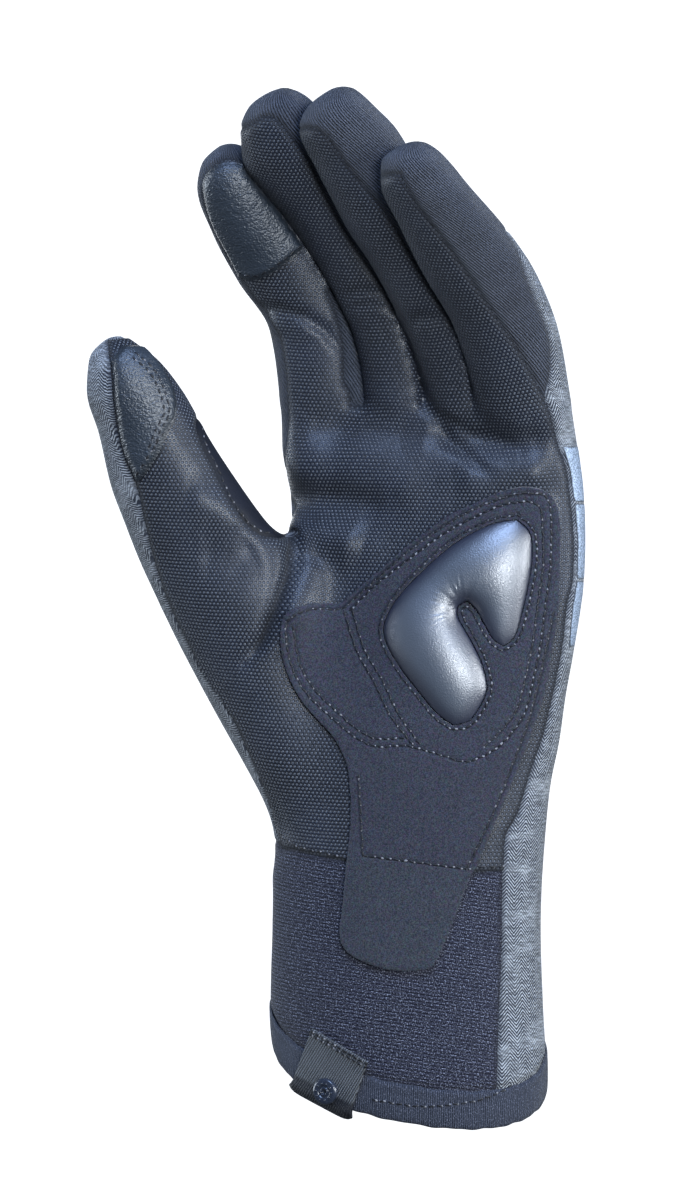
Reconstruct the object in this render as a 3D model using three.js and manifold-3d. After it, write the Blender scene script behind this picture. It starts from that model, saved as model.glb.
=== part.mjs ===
// A left-hand winter cycling glove, as worn: palm towards -Y, fingers up along +Z, thumb towards -X.
// Lengths are millimetres. The origin is the middle of the wrist opening.
// The hand, the thumb and each finger are hollow lofts. Outlines drawn on the palm side cut them into the sewn panels.
import * as THREE from "three";
import { mergeVertices } from "three/addons/utils/BufferGeometryUtils.js";
import Module from "manifold-3d";

const wasm = await Module();
wasm.setup();

const WALL = 2;
const GAP = 0.3;
const OVERLAY = 1.1;
const REFLECTOR = 0.8;
const HAND_SIDES = 24;
const FINGER_SIDES = 12;
const FAR = 150;
const CROTCH = 174;

// The hem is cut along the plane z = HEM_X * x + HEM_Y * y: lowest in front, at the palm side.
const HEM_X = -0.08;
const HEM_Y = 0.68;
const BINDING = { band: 9.5, lip: 1.5, thick: 1.2 };
const TAB_THICK = 1.2;
const BUTTON = { x: -22.5, z: -7.8, radius: 3.5, height: 1.5 };
const PAD_HEIGHT = 5.2;

// Each form is a stack of level sections, from its top down. left and right are the section's edges in x,
// far and near the depths y of its middle line at those edges, and half its half thickness.
const SECTION = ["z", "left", "right", "far", "near", "half"];

const HAND = table(SECTION, [
  [178.2, -27, 36, 0, -15.5, 5],
  [174.5, -33.5, 43.5, 2, -18, 11],
  [167, -34.8, 45.6, 2.5, -19, 13.2],
  [151, -32.3, 47.3, 2.5, -19, 14.7],
  [132, -33.8, 47.3, 1.5, -18.2, 16.2],
  [110, -36, 44.4, 0, -17, 17.5],
  [87, -38, 40.7, -1.5, -15, 18.5],
  [66, -37, 37.3, -2, -14, 19],
  [46, -36.8, 36, -1, -11.5, 19.8],
  [-28, -37.2, 37, 8.5, -1.5, 25],
]);

const THUMB = table(SECTION, [
  [195.6, -80.8, -76, -15, -15, 2.5],
  [193.6, -83.6, -73, -15, -15, 5.6],
  [190.2, -86.2, -68.4, -15, -15, 8.8],
  [181, -87, -61, -14, -14, 11.4],
  [155.3, -80.5, -44.7, -9.5, -12, 12.5],
  [135.3, -72.9, -27, -6, -10, 14.5],
  [116, -64, -21, -3.5, -8.5, 16],
  [97.7, -55, -18.6, -2, -7, 16.5],
  [66, -38.3, -21.3, -4, -8, 13.5],
  [57, -35, -25, -5, -8, 9],
]);

const INDEX = table(SECTION, [
  [247.6, -50.4, -45.8, -15.5, -15.5, 2.5],
  [245.7, -53.2, -43.6, -15.3, -15.3, 5.6],
  [242.4, -56, -41.4, -14.8, -14.8, 8.4],
  [236, -57.2, -38, -13.4, -13.4, 10],
  [224, -53.2, -29.2, -9.5, -9.5, 10.5],
  [211, -46.2, -18.5, -5.6, -5.6, 10.5],
  [198, -37.8, -12.4, -3, -3, 10.5],
  [178.7, -35.1, -9, -0.5, -1, 10.6],
  [166, -34.4, -12, 0.5, -2.5, 11],
  [150, -31.5, -14, 1, -2.5, 10],
]);

const MIDDLE = table(SECTION, [
  [261.9, -35.8, -31.2, -31, -31, 2.5],
  [260.2, -39.4, -27.8, -30.7, -30.7, 5.6],
  [257, -43.2, -24.6, -29.8, -29.8, 8.4],
  [251, -45.4, -22.2, -27.4, -27.4, 10],
  [241.9, -44, -18.4, -23.5, -23.5, 10.4],
  [218, -26.2, -4.6, -13.8, -13.8, 10.4],
  [202, -17.6, 2.6, -10.2, -10.2, 10.3],
  [183, -12, 7, -7, -8, 10.2],
  [166, -11.3, 7.6, -5.5, -7.5, 11],
  [150, -10, 7, -5, -7, 10],
]);

const RING = table(SECTION, [
  [261.6, -20.2, -15.2, -44, -44, 2.5],
  [259.8, -23.4, -12.6, -43.8, -43.8, 5.6],
  [256.8, -27, -9.4, -43.1, -43.1, 8.4],
  [251, -29.2, -3.6, -41.2, -41.2, 10.2],
  [240.3, -24.6, 2.4, -37, -37, 10.7],
  [215.5, -10.3, 11.9, -26.5, -26.5, 10.5],
  [200, -2, 17.2, -20.7, -21, 10.3],
  [177.4, 5.2, 21.6, -13, -14.5, 10.2],
  [166, 6.2, 22.6, -11, -13, 10.8],
  [150, 7, 21, -9, -12, 10],
]);

const PINKY = table(SECTION, [
  [246.5, -0.6, 4.2, -54, -54, 2.5],
  [244.7, -4.2, 7.2, -54, -54, 5.6],
  [241.6, -7.4, 10.4, -53.4, -53.4, 8.4],
  [236, -7.6, 15.2, -51, -51, 10],
  [225, -2.6, 25, -45.8, -45.4, 10.8],
  [212, 4, 34, -39.2, -37.6, 11],
  [196, 13, 40.4, -30.5, -28.6, 11],
  [180.9, 17.3, 43.3, -22.5, -22, 11],
  [166, 18.6, 45.2, -15.6, -19, 11.5],
  [150, 20, 44, -13, -17, 11],
]);

const FORMS = {
  hand: { rows: HAND, sides: HAND_SIDES, power: 2.3 },
  thumb: { rows: THUMB, sides: 14, power: 2.1 },
  index: { rows: INDEX, sides: FINGER_SIDES, power: 2.15 },
  middle: { rows: MIDDLE, sides: FINGER_SIDES, power: 2.15 },
  ring: { rows: RING, sides: FINGER_SIDES, power: 2.15 },
  pinky: { rows: PINKY, sides: FINGER_SIDES, power: 2.15 },
};
const NEIGHBOURS = [
  ["index", "middle"],
  ["middle", "ring"],
  ["ring", "pinky"],
];

// Outlines as seen from the palm side. Points past the glove's edge only say on which side of it the panel goes on.
const POINT = ["x", "z"];

const PALM_OUTLINE = table(POINT, [
  [-30, 57], [-15.7, 54], [5.7, 51.3], [25.6, 51.8], [26, 61], [29.4, 67.5], [32.7, 78], [36.2, 88], [38.9, 99],
  [41.3, 111], [42.7, 123], [44.3, 130], [44.6, 140], [43.7, 150.5], [42.4, 159.5], [40.5, 166.3], [39, 171.5],
  [36.5, 178.7], [30, 190], [-60, 190], [-38, 155], [-36.3, 147], [-32.4, 142], [-31.6, 133], [-34.8, 124],
  [-39, 114.5], [-43, 109], [-51.5, 99.5], [-47, 91], [-42, 79.5], [-38, 70], [-35, 59.7],
]);
const INDEX_OUTLINE = table(POINT, [
  [-15.4, 150], [-15.4, 178], [-17.3, 184], [-17.8, 195], [-21.3, 207.4], [-28, 220.6], [-33.4, 228], [-38.6, 235.4],
  [-43.5, 242], [-49, 244.5], [-55.6, 241.5], [-70, 236], [-70, 150],
]);
const MIDDLE_OUTLINE = table(POINT, [
  [5, 150], [5.1, 177.4], [3, 186.8], [-1, 197.6], [-4.9, 205.7], [-12.2, 216.5], [-18, 225.5], [-22.7, 233.8],
  [-26.7, 242], [-31.3, 248.7], [-35.4, 253.3], [-38.6, 254.3], [-43.7, 252], [-60, 247], [-60, 150],
]);
const RING_OUTLINE = table(POINT, [
  [17.6, 150], [17.8, 177.4], [15.4, 189.5], [11, 200], [4.3, 211], [-2.4, 222], [-6.8, 228.7], [-10.3, 233],
  [-16.5, 240.3], [-22.7, 248.7], [-28, 250.8], [-45, 250], [-45, 150],
]);
const PINKY_OUTLINE = table(POINT, [
  [36, 150], [36.5, 178], [35.6, 180.4], [28.6, 192.5], [21.6, 202.5], [14, 213.6], [8.6, 221], [2.4, 229],
  [-1.9, 236], [-4.6, 238], [-30, 236], [-30, 150],
]);
const THUMB_OUTLINE = table(POINT, [
  [-81.5, 195], [-80.5, 187], [-79.6, 177], [-77.7, 166], [-73.5, 155], [-71.7, 147], [-69.4, 137], [-66.5, 127.5],
  [-64.5, 122.5], [-58.9, 111], [-51.9, 100], [-43.3, 109.5], [-39.3, 115], [-35.1, 124.4], [-31.9, 133.2],
  [-32.7, 141.6], [-38.6, 141.6], [-42.9, 143.8], [-48.6, 150.6], [-52.9, 160], [-56.3, 167.4], [-57.4, 173.4],
  [-58, 180], [-66, 195],
]);
const GUSSET_OUTLINE = table(POINT, [
  [-57.1, 173.4], [-56, 167.4], [-52.6, 160.2], [-48.3, 150.9], [-42.7, 144.1], [-38.4, 141.9], [-33.4, 141.9],
  [-30, 146], [-45, 175], [-54, 182],
]);
const PINKY_BACK_OUTLINE = table(POINT, [
  [36.3, 175], [36.2, 179.5], [38, 186], [37.5, 195.5], [34.5, 203], [31.6, 210], [29.2, 217.6], [25.6, 223.6],
  [60, 223.6], [60, 175],
]);
const HEEL_OUTLINE = table(POINT, [
  [-34, 118.8], [-32, 121.8], [-26.2, 123.6], [-18.6, 123.6], [-15.4, 126], [-9, 131.4], [-0.3, 139], [10.2, 146.9],
  [18.4, 151], [26.4, 154.4], [33.2, 155.2], [38, 152.5], [40.2, 146.3], [40.2, 132.8], [39.7, 122], [38, 111.2],
  [36.2, 100.4], [33.2, 91], [30, 82.4], [25.9, 72], [21, 60.5], [17.6, 52.4], [16.2, 50], [10.5, 34.8],
  [7.3, 27.8], [4.6, 25.4], [-4.6, 25.1], [-13, 27.8], [-17, 30.8], [-18.4, 35], [-17.6, 42], [-16.5, 53.7],
  [-15.4, 65.3], [-16, 78.3], [-18.4, 84.8], [-21.3, 89], [-28.6, 97], [-32.7, 104.5], [-34.6, 112],
]);
const INDEX_PATCH_OUTLINE = table(POINT, [
  [-54.6, 238.6], [-52, 241.4], [-49.4, 242.4], [-46, 242.2], [-43.6, 241], [-38.8, 235], [-33.2, 227], [-29, 220.6],
  [-29, 219.2], [-33, 216], [-37, 213], [-42, 211.2], [-46.4, 212], [-53, 216.5], [-60, 222], [-60, 236],
]);
const THUMB_PATCH_OUTLINE = table(POINT, [
  [-80.2, 189], [-79.6, 187], [-78.8, 177], [-76.9, 166], [-73.4, 157], [-71.9, 157.6], [-67, 165], [-65.4, 169.6],
  [-63, 174.6], [-63.6, 181], [-67, 187.4], [-72, 192.6], [-77, 193],
]);
const CUFF_OUTLINE = table(POINT, [
  [-60, 66], [-37.4, 59.6], [-29.4, 56.7], [-15.7, 53.6], [5.7, 51], [24.8, 51.4], [25, 31], [24.3, 12.5],
  [23.8, -6], [23.8, -40], [-60, -40],
]);
const TAB_OUTLINE = table(POINT, [
  [-25.8, 9.2], [-11.4, 0.8], [-10.6, -0.8], [-15, -12], [-24, -40], [-38, -40], [-31, -5.6], [-30.6, -4.4],
]);
const REFLECTORS = table(["name", "bottom", "top"], [
  ["reflector_upper", 151.2, 166],
  ["reflector_middle", 130.4, 150.6],
  ["reflector_lower", 112, 129.8],
]);
// The edge of the reflective band next to the palm, and how far round the side it reaches.
const REFLECTOR_EDGE = table(POINT, [
  [43, 112], [43.8, 122], [45.2, 130], [45.4, 140], [44.6, 150], [43.2, 159], [41.4, 166],
]);
const REFLECTOR_REACH = 13;

// The pad's edge and, for each point of it, the point of the crest above it.
const PAD = table(["x", "z", "crestX", "crestZ"], [
  [29, 146.4, 26, 140], [23.5, 145.6, 22, 139], [17.5, 143, 17, 136.5], [10.5, 138.6, 12, 133.5], [2.7, 131.5, 7, 127],
  [-3, 125.2, 4, 122], [-6.4, 118.8, 3, 117], [-6.4, 114, 4, 113.5], [-3, 107.4, 6.5, 109], [2.2, 100.4, 9.6, 104],
  [7.5, 94, 12.5, 99], [12, 90.8, 14.6, 96.5], [16.6, 92.4, 15.6, 97], [20.4, 98.5, 14.6, 101], [21, 102.4, 13, 105],
  [19.6, 108, 11, 109.5], [16.7, 114, 9.6, 114], [13.4, 120, 9.6, 119], [13.4, 122.9, 12, 126], [15.7, 124.2, 17, 129],
  [18, 121.8, 21.6, 128], [20.4, 117.4, 24.6, 123], [22.6, 114, 26, 119.5], [25.4, 112, 27, 117.8], [28.6, 115.2, 28, 119],
  [30.6, 121.8, 28.2, 124], [32.7, 131.8, 28.2, 131.6], [33.2, 138.8, 28, 136.4], [32.2, 143.4, 27.4, 139],
]);
// The pad's rise: share of the way from the edge to the crest, and share of the height.
const PAD_RISE = table(["way", "height"], [
  [0, 0.12], [0.08, 0.5], [0.32, 0.84], [0.75, 1],
]);

const LOOKS = {
  leather: { color: "#2e3547", roughness: 0.5, metalness: 0 },
  grain: { color: "#303747", roughness: 0.4, metalness: 0 },
  gusset: { color: "#333944", roughness: 0.7, metalness: 0 },
  suede: { color: "#3a3f4b", roughness: 0.9, metalness: 0 },
  gel: { color: "#4a5568", roughness: 0.3, metalness: 0 },
  knit: { color: "#2b3040", roughness: 0.9, metalness: 0 },
  heather: { color: "#8c97a6", roughness: 0.9, metalness: 0 },
  reflective: { color: "#a8bcd6", roughness: 0.4, metalness: 0.2 },
  binding: { color: "#2e3342", roughness: 0.9, metalness: 0 },
  webbing: { color: "#3b4247", roughness: 0.85, metalness: 0 },
  plastic: { color: "#2a3040", roughness: 0.3, metalness: 0 },
};

// Rows of numbers as objects with named columns.
function table(columns, rows) {
  return rows.map((row) =>
    Object.fromEntries(columns.map((name, i) => [name, row[i]])),
  );
}

function solid(geometry) {
  const bare = geometry.clone();
  bare.deleteAttribute("normal");
  bare.deleteAttribute("uv");
  const merged = mergeVertices(bare, 1e-4);
  const mesh = new wasm.Mesh({
    numProp: 3,
    vertProperties: new Float32Array(merged.attributes.position.array),
    triVerts: new Uint32Array(merged.index.array),
  });
  return new wasm.Manifold(mesh);
}

function geometryOf(body) {
  const mesh = body.getMesh();
  const geometry = new THREE.BufferGeometry();
  geometry.setAttribute(
    "position",
    new THREE.BufferAttribute(mesh.vertProperties, 3),
  );
  geometry.setIndex(new THREE.BufferAttribute(mesh.triVerts, 1));
  return geometry;
}

function volumeOf(points, faces) {
  let six = 0;
  for (const [a, b, c] of faces)
    six += points[a].dot(points[b].clone().cross(points[c]));
  return six / 6;
}

// A closed body from points and triangles, its faces turned outwards.
function body(points, faces) {
  const turned = volumeOf(points, faces) < 0 ? faces.map((f) => [f[0], f[2], f[1]]) : faces;
  const geometry = new THREE.BufferGeometry().setFromPoints(points);
  geometry.setIndex(turned.flat());
  return solid(geometry);
}

// Rings of equally many points, joined into a closed body with a flat cap at each end.
function loft(rings) {
  const sides = rings[0].length;
  const points = rings.flat();
  const faces = [];
  for (let r = 0; r + 1 < rings.length; r++)
    for (let s = 0; s < sides; s++) {
      const a = r * sides + s;
      const b = r * sides + ((s + 1) % sides);
      faces.push([a, b, b + sides], [a, b + sides, a + sides]);
    }
  [0, rings.length - 1].forEach((r) => {
    const middle = new THREE.Vector3();
    rings[r].forEach((p) => middle.add(p));
    points.push(middle.divideScalar(sides));
    const centre = points.length - 1;
    for (let s = 0; s < sides; s++) {
      const a = r * sides + s;
      const b = r * sides + ((s + 1) % sides);
      faces.push(r === 0 ? [centre, b, a] : [centre, a, b]);
    }
  });
  return body(points, faces);
}

// The section's values at height z, worked out between the rows.
function sectionAt(rows, z) {
  const found = rows.findIndex((row) => row.z <= z);
  const below = found < 0 ? rows.length - 1 : Math.max(1, found);
  const low = rows[below];
  const high = rows[below - 1];
  const t = THREE.MathUtils.clamp((z - low.z) / (high.z - low.z), 0, 1);
  return Object.fromEntries(
    SECTION.map((name) => [name, THREE.MathUtils.lerp(low[name], high[name], t)]),
  );
}

// The rows grown by a thickness: sideways on the sides, and upwards where the rows close over a tip.
function grown(rows, thickness) {
  const top = rows[0].z;
  const full = Math.max(...rows.filter((row) => row.z > top - 25).map((row) => row.half));
  return rows
    .map((row) => {
      const level = row.z > top - 25 ? Math.min(1, row.half / full) : 1;
      const up = Math.sqrt(1 - level * level);
      return {
        ...row,
        z: row.z + thickness * up,
        left: row.left - thickness * level,
        right: row.right + thickness * level,
        half: row.half + thickness * level,
      };
    })
    .filter((row) => row.half > 0.8 && row.right - row.left > 1.6);
}

function ringOf(row, sides, power) {
  const middle = (row.left + row.right) / 2;
  const reach = (row.right - row.left) / 2;
  return Array.from({ length: sides }, (_, s) => {
    const angle = (2 * Math.PI * s) / sides;
    const across = Math.cos(angle);
    const deep = Math.sin(angle);
    const x = Math.sign(across) * Math.abs(across) ** (2 / power);
    const y = Math.sign(deep) * Math.abs(deep) ** (2 / power);
    const line = THREE.MathUtils.lerp(row.far, row.near, (x + 1) / 2);
    return new THREE.Vector3(middle + reach * x, line + row.half * y, row.z);
  });
}

// Where two neighbouring fingers meet at height z: a point of the line between them and the way from the first to the second.
function meeting(first, second, z) {
  const a = sectionAt(FORMS[first].rows, z);
  const b = sectionAt(FORMS[second].rows, z);
  const from = new THREE.Vector2((a.left + a.right) / 2, (a.far + a.near) / 2);
  const to = new THREE.Vector2((b.left + b.right) / 2, (b.far + b.near) / 2);
  const way = to.clone().sub(from);
  const distance = way.length();
  way.normalize();
  const radius = (row) => Math.hypot(((row.right - row.left) / 2) * way.x, row.half * way.y);
  return { point: from.addScaledVector(way, (distance + radius(a) - radius(b)) / 2), way };
}

// Points of a finger's section that lie past the line to a neighbour are pressed back to it, less a clearance.
// Below the crotches the fingers run into the hand, so there they keep their full section.
function pressed(ring, name, clearance) {
  if (ring[0].z < CROTCH) return ring;
  for (const [first, second] of NEIGHBOURS)
    if (name === first || name === second) {
      const { point, way } = meeting(first, second, ring[0].z);
      const sign = name === first ? 1 : -1;
      ring.forEach((p) => {
        const past = sign * ((p.x - point.x) * way.x + (p.y - point.y) * way.y) + clearance;
        if (past > 0) {
          p.x -= sign * past * way.x;
          p.y -= sign * past * way.y;
        }
      });
    }
  return ring;
}

// One form, grown by a thickness. Neighbouring fingers are pressed flat where they meet.
function formed(name, thickness) {
  const { rows, sides, power } = FORMS[name];
  const clearance = Math.max(0.1, 0.25 - thickness);
  return loft(grown(rows, thickness).map((row) => pressed(ringOf(row, sides, power), name, clearance)));
}

// The part of space in front of a form's middle surface, moved back by a distance.
function frontOf(name, shift) {
  const { rows } = FORMS[name];
  const ends = [
    { ...rows[0], z: rows[0].z + 20 },
    ...rows,
    { ...rows.at(-1), z: rows.at(-1).z - 20 },
  ];
  return loft(
    ends.map((row) => {
      const slope = (row.near - row.far) / Math.max(8, row.right - row.left);
      const at = (x) => row.far + slope * (x - row.left) + shift;
      const [left, right] = [row.left - 12, row.right + 12];
      return [
        new THREE.Vector3(left, at(left), row.z),
        new THREE.Vector3(right, at(right), row.z),
        new THREE.Vector3(right, -FAR, row.z),
        new THREE.Vector3(left, -FAR, row.z),
      ];
    }),
  );
}

// An outline moved outwards by a distance.
function widened(outline, distance) {
  const points = outline.map((p) => new THREE.Vector2(p.x, p.z));
  const sign = THREE.ShapeUtils.area(points) > 0 ? 1 : -1;
  return points.map((point, i) => {
    const before = points[(i + points.length - 1) % points.length];
    const after = points[(i + 1) % points.length];
    const one = point.clone().sub(before).normalize();
    const two = after.clone().sub(point).normalize();
    const normalOne = new THREE.Vector2(one.y, -one.x).multiplyScalar(sign);
    const normalTwo = new THREE.Vector2(two.y, -two.x).multiplyScalar(sign);
    const sum = normalOne.clone().add(normalTwo);
    const scale = distance / Math.max(0.4, sum.lengthSq() / 2);
    return { x: point.x + sum.x * scale, z: point.y + sum.y * scale };
  });
}

// Triangles that fill an outline, each turned the way that the outline runs.
function filled(outline) {
  const flat = outline.map((p) => new THREE.Vector2(p.x, p.z));
  const way = Math.sign(THREE.ShapeUtils.area(flat));
  return THREE.ShapeUtils.triangulateShape(flat, []).map(([a, b, c]) => {
    const [p, q, r] = [flat[a], flat[b], flat[c]];
    const turn = (q.x - p.x) * (r.y - p.y) - (r.x - p.x) * (q.y - p.y);
    return Math.sign(turn) === way ? [a, b, c] : [a, c, b];
  });
}

// Faces that join a ring of points, starting at one index, to the next ring.
function band(count, from, to) {
  return Array.from({ length: count }, (_, i) => {
    const j = (i + 1) % count;
    return [
      [from + i, to + i, from + j],
      [from + j, to + i, to + j],
    ];
  }).flat();
}

// A prism along y over an outline, between two depths.
function prism(outline, front = -FAR, back = FAR) {
  const count = outline.length;
  const points = [front, back].flatMap((y) => outline.map((p) => new THREE.Vector3(p.x, y, p.z)));
  const cap = filled(outline);
  const behind = cap.map(([a, b, c]) => [c + count, b + count, a + count]);
  return body(points, [...cap, ...behind, ...band(count, 0, count)]);
}

// Everything above the hem's plane, moved up by a distance.
function aboveHem(up) {
  const corner = (x, y, z) => new THREE.Vector3(x, y, z);
  const hem = (x, y) => HEM_X * x + HEM_Y * y + up;
  const low = [[-FAR, -FAR], [FAR, -FAR], [FAR, FAR], [-FAR, FAR]];
  return loft([
    low.map(([x, y]) => corner(x, y, 3 * FAR)),
    low.map(([x, y]) => corner(x, y, hem(x, y))),
  ]);
}

function union(bodies) {
  return bodies.reduce((all, one) => all.add(one));
}

function largest(made) {
  return made.decompose().sort((a, b) => b.volume() - a.volume())[0];
}

// The depth y of the hand's front, grown by a thickness, at a point seen from the palm side.
function handFront(x, z, thickness) {
  const row = sectionAt(grown(HAND, thickness), z);
  const across = THREE.MathUtils.clamp((2 * (x - row.left)) / (row.right - row.left) - 1, -1, 1);
  const { power } = FORMS.hand;
  const line = THREE.MathUtils.lerp(row.far, row.near, (across + 1) / 2);
  return line - row.half * (1 - Math.abs(across) ** power) ** (1 / power);
}

// The whole glove as one skin, grown by a thickness.
function skin(thickness) {
  return union(Object.keys(FORMS).map((name) => formed(name, thickness)));
}

const outer = skin(0);
const inner = skin(-WALL);
const seat = skin(GAP);
const overlayTop = skin(GAP + OVERLAY);

// What is still to be cut from the shell. take() cuts one panel out of it and leaves a gap round it.
let left = outer.subtract(inner).intersect(aboveHem(0));

function take(cutter, cutterWithGap) {
  const panel = left.intersect(cutter);
  left = left.subtract(cutterWithGap);
  return largest(panel);
}

// The part of one form that an outline covers, on the palm side of the form's middle surface.
function covers(name, outline, shift, gap) {
  return formed(name, 1)
    .intersect(prism(widened(outline, gap)))
    .intersect(frontOf(name, shift + gap));
}

const PANELS = {
  palm: (gap) =>
    union([
      covers("hand", PALM_OUTLINE, 2, gap),
      covers("thumb", PALM_OUTLINE, 1, gap),
      covers("index", INDEX_OUTLINE, 1, gap),
      covers("middle", MIDDLE_OUTLINE, 1, gap),
      covers("ring", RING_OUTLINE, 1, gap),
      covers("pinky", PINKY_OUTLINE, 1, gap),
    ]),
  gusset: (gap) => covers("thumb", GUSSET_OUTLINE, 7, gap),
  thumb: (gap) => covers("thumb", THUMB_OUTLINE, 1, gap),
  cuff: (gap) => covers("hand", CUFF_OUTLINE, 5, gap),
};

const palmPanel = take(PANELS.palm(0), PANELS.palm(GAP));
const thumbGusset = take(PANELS.gusset(0), PANELS.gusset(GAP));
const thumbPanel = take(PANELS.thumb(0), PANELS.thumb(GAP));
const cuffKnit = take(PANELS.cuff(0), PANELS.cuff(GAP));

// The knit of a finger is what is left of it above the grey back fabric, which ends at a height on the finger's back.
const FINGER_KNITS = table(["name", "backTop", "foot"], [
  ["index", 212, 176.5],
  ["middle", 224, 176.5],
  ["ring", 223, 176.5],
  ["pinky", 223.6, 176.5],
]);

function greyOf(name, backTop, gap) {
  const box = [{ x: -FAR, z: 60 }, { x: FAR, z: 60 }, { x: FAR, z: backTop + gap }, { x: -FAR, z: backTop + gap }];
  const behind = formed(name, 1).intersect(prism(box)).subtract(frontOf(name, 1.5 - gap));
  if (name !== "pinky") return behind;
  return behind.add(formed(name, 1).intersect(prism(widened(PINKY_BACK_OUTLINE, gap))));
}

const knits = FINGER_KNITS.map(({ name, backTop, foot }) => {
  const above = [{ x: -FAR, z: foot }, { x: FAR, z: foot }, { x: FAR, z: 300 }, { x: -FAR, z: 300 }];
  const others = FINGER_KNITS.filter((row) => row.name !== name).map((row) => formed(row.name, 0.1));
  const region = (gap) =>
    formed(name, 1)
      .intersect(prism(widened(above, gap)))
      .subtract(greyOf(name, backTop, GAP - gap))
      .subtract(union(others));
  return { name, body: take(region(0), region(GAP)) };
});

const THUMB_BACK_OUTLINE = table(POINT, [
  [-34.5, 59.5], [-34.5, 143], [-44, 168], [-60, 200], [-120, 220], [-120, 59.5],
]);
const thumbBack = take(
  prism(THUMB_BACK_OUTLINE),
  prism(widened(THUMB_BACK_OUTLINE, GAP)),
);
const backPanel = largest(left);

// A sheet that lies on the front of the glove over an outline.
function overlay(outline) {
  return overlayTop.subtract(seat).intersect(prism(outline, -FAR, 0));
}

const padHole = PAD.map(({ x, z }) => ({ x, z }));
const heelOverlay = largest(overlay(HEEL_OUTLINE).subtract(prism(widened(padHole, 0.4))));
const indexPatch = largest(
  overlay(INDEX_PATCH_OUTLINE).intersect(formed("index", 3)).intersect(frontOf("index", 0)),
);
const thumbPatch = largest(
  overlay(THUMB_PATCH_OUTLINE).intersect(formed("thumb", 3)).intersect(frontOf("thumb", -1)),
);

function padBody() {
  const count = PAD.length;
  const foot = PAD.map((p) => new THREE.Vector3(p.x, handFront(p.x, p.z, GAP) + 6, p.z));
  const rings = PAD_RISE.map(({ way, height }) =>
    PAD.map((p) => {
      const x = THREE.MathUtils.lerp(p.x, p.crestX, way);
      const z = THREE.MathUtils.lerp(p.z, p.crestZ, way);
      return new THREE.Vector3(x, handFront(x, z, GAP) - 0.1 - height * PAD_HEIGHT, z);
    }),
  ).reverse();
  const layers = [...rings, foot];
  const faces = filled(layers[0]);
  for (let r = 0; r + 1 < layers.length; r++) faces.push(...band(count, r * count, (r + 1) * count));
  const start = (layers.length - 1) * count;
  filled(foot).forEach(([a, b, c]) => faces.push([start + c, start + b, start + a]));
  return body(layers.flat(), faces);
}
const gelPad = largest(padBody().subtract(seat));

function reflector({ bottom, top }) {
  const edge = REFLECTOR_EDGE.filter((p) => p.z > bottom && p.z < top);
  const at = (z) => {
    const next = REFLECTOR_EDGE.findIndex((p) => p.z >= z);
    const [a, b] = [REFLECTOR_EDGE[Math.max(0, next - 1)], REFLECTOR_EDGE[Math.max(1, next)]];
    return { x: THREE.MathUtils.mapLinear(z, a.z, b.z, a.x, b.x), z };
  };
  const outline = [at(bottom), { x: 60, z: bottom }, { x: 60, z: top }, at(top), ...edge.reverse()];
  return largest(
    skin(GAP + REFLECTOR)
      .subtract(seat)
      .intersect(prism(outline, -FAR, handFront(47, (bottom + top) / 2, 0) + REFLECTOR_REACH)),
  );
}

// The hem's binding wraps the shell's edge, outside and inside.
const { lip, thick } = BINDING;
const handGrown = (thickness) => formed("hand", thickness);
const hemBinding = largest(
  handGrown(GAP + thick)
    .subtract(handGrown(-WALL - GAP - thick))
    .intersect(aboveHem(-lip))
    .subtract(aboveHem(BINDING.band))
    .subtract(
      handGrown(GAP)
        .subtract(handGrown(-WALL - GAP))
        .intersect(aboveHem(-GAP)),
    ),
);

// The tab is a loop of webbing over the bound hem.
const tabOut = GAP + thick + GAP;
const pullTab = largest(
  handGrown(tabOut + TAB_THICK)
    .subtract(handGrown(-WALL - tabOut - TAB_THICK))
    .intersect(aboveHem(-lip - GAP - TAB_THICK))
    .intersect(prism(TAB_OUTLINE, -FAR, 0))
    .subtract(
      handGrown(tabOut)
        .subtract(handGrown(-WALL - tabOut))
        .intersect(aboveHem(-lip - GAP)),
    ),
);

function snapButton() {
  const profile = table(["r", "h"], [
    [0.7, 0], [BUTTON.radius, 0], [BUTTON.radius, 0.7], [3.1, 1.1], [2.2, 1.1], [2, 0.8], [1.7, 0.8],
    [1.5, BUTTON.height], [0.7, BUTTON.height], [0.7, 0],
  ]).map(({ r, h }) => new THREE.Vector2(r, h));
  const lathe = new THREE.LatheGeometry(profile, 10);
  const { x, z } = BUTTON;
  const step = 1;
  const depth = (a, b) => handFront(a, b, tabOut + TAB_THICK);
  const normal = new THREE.Vector3(
    (depth(x + step, z) - depth(x - step, z)) / (2 * step),
    -1,
    (depth(x, z + step) - depth(x, z - step)) / (2 * step),
  ).normalize();
  const turn = new THREE.Quaternion().setFromUnitVectors(new THREE.Vector3(0, 1, 0), normal);
  const place = new THREE.Vector3(x, depth(x, z), z).addScaledVector(normal, GAP);
  lathe.applyMatrix4(new THREE.Matrix4().compose(place, turn, new THREE.Vector3(1, 1, 1)));
  return solid(lathe);
}

const glove = new THREE.Group();

function addPiece(name, made, look) {
  const piece = new THREE.Mesh(geometryOf(made), new THREE.MeshStandardMaterial(LOOKS[look]));
  piece.name = name;
  glove.add(piece);
}

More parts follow.
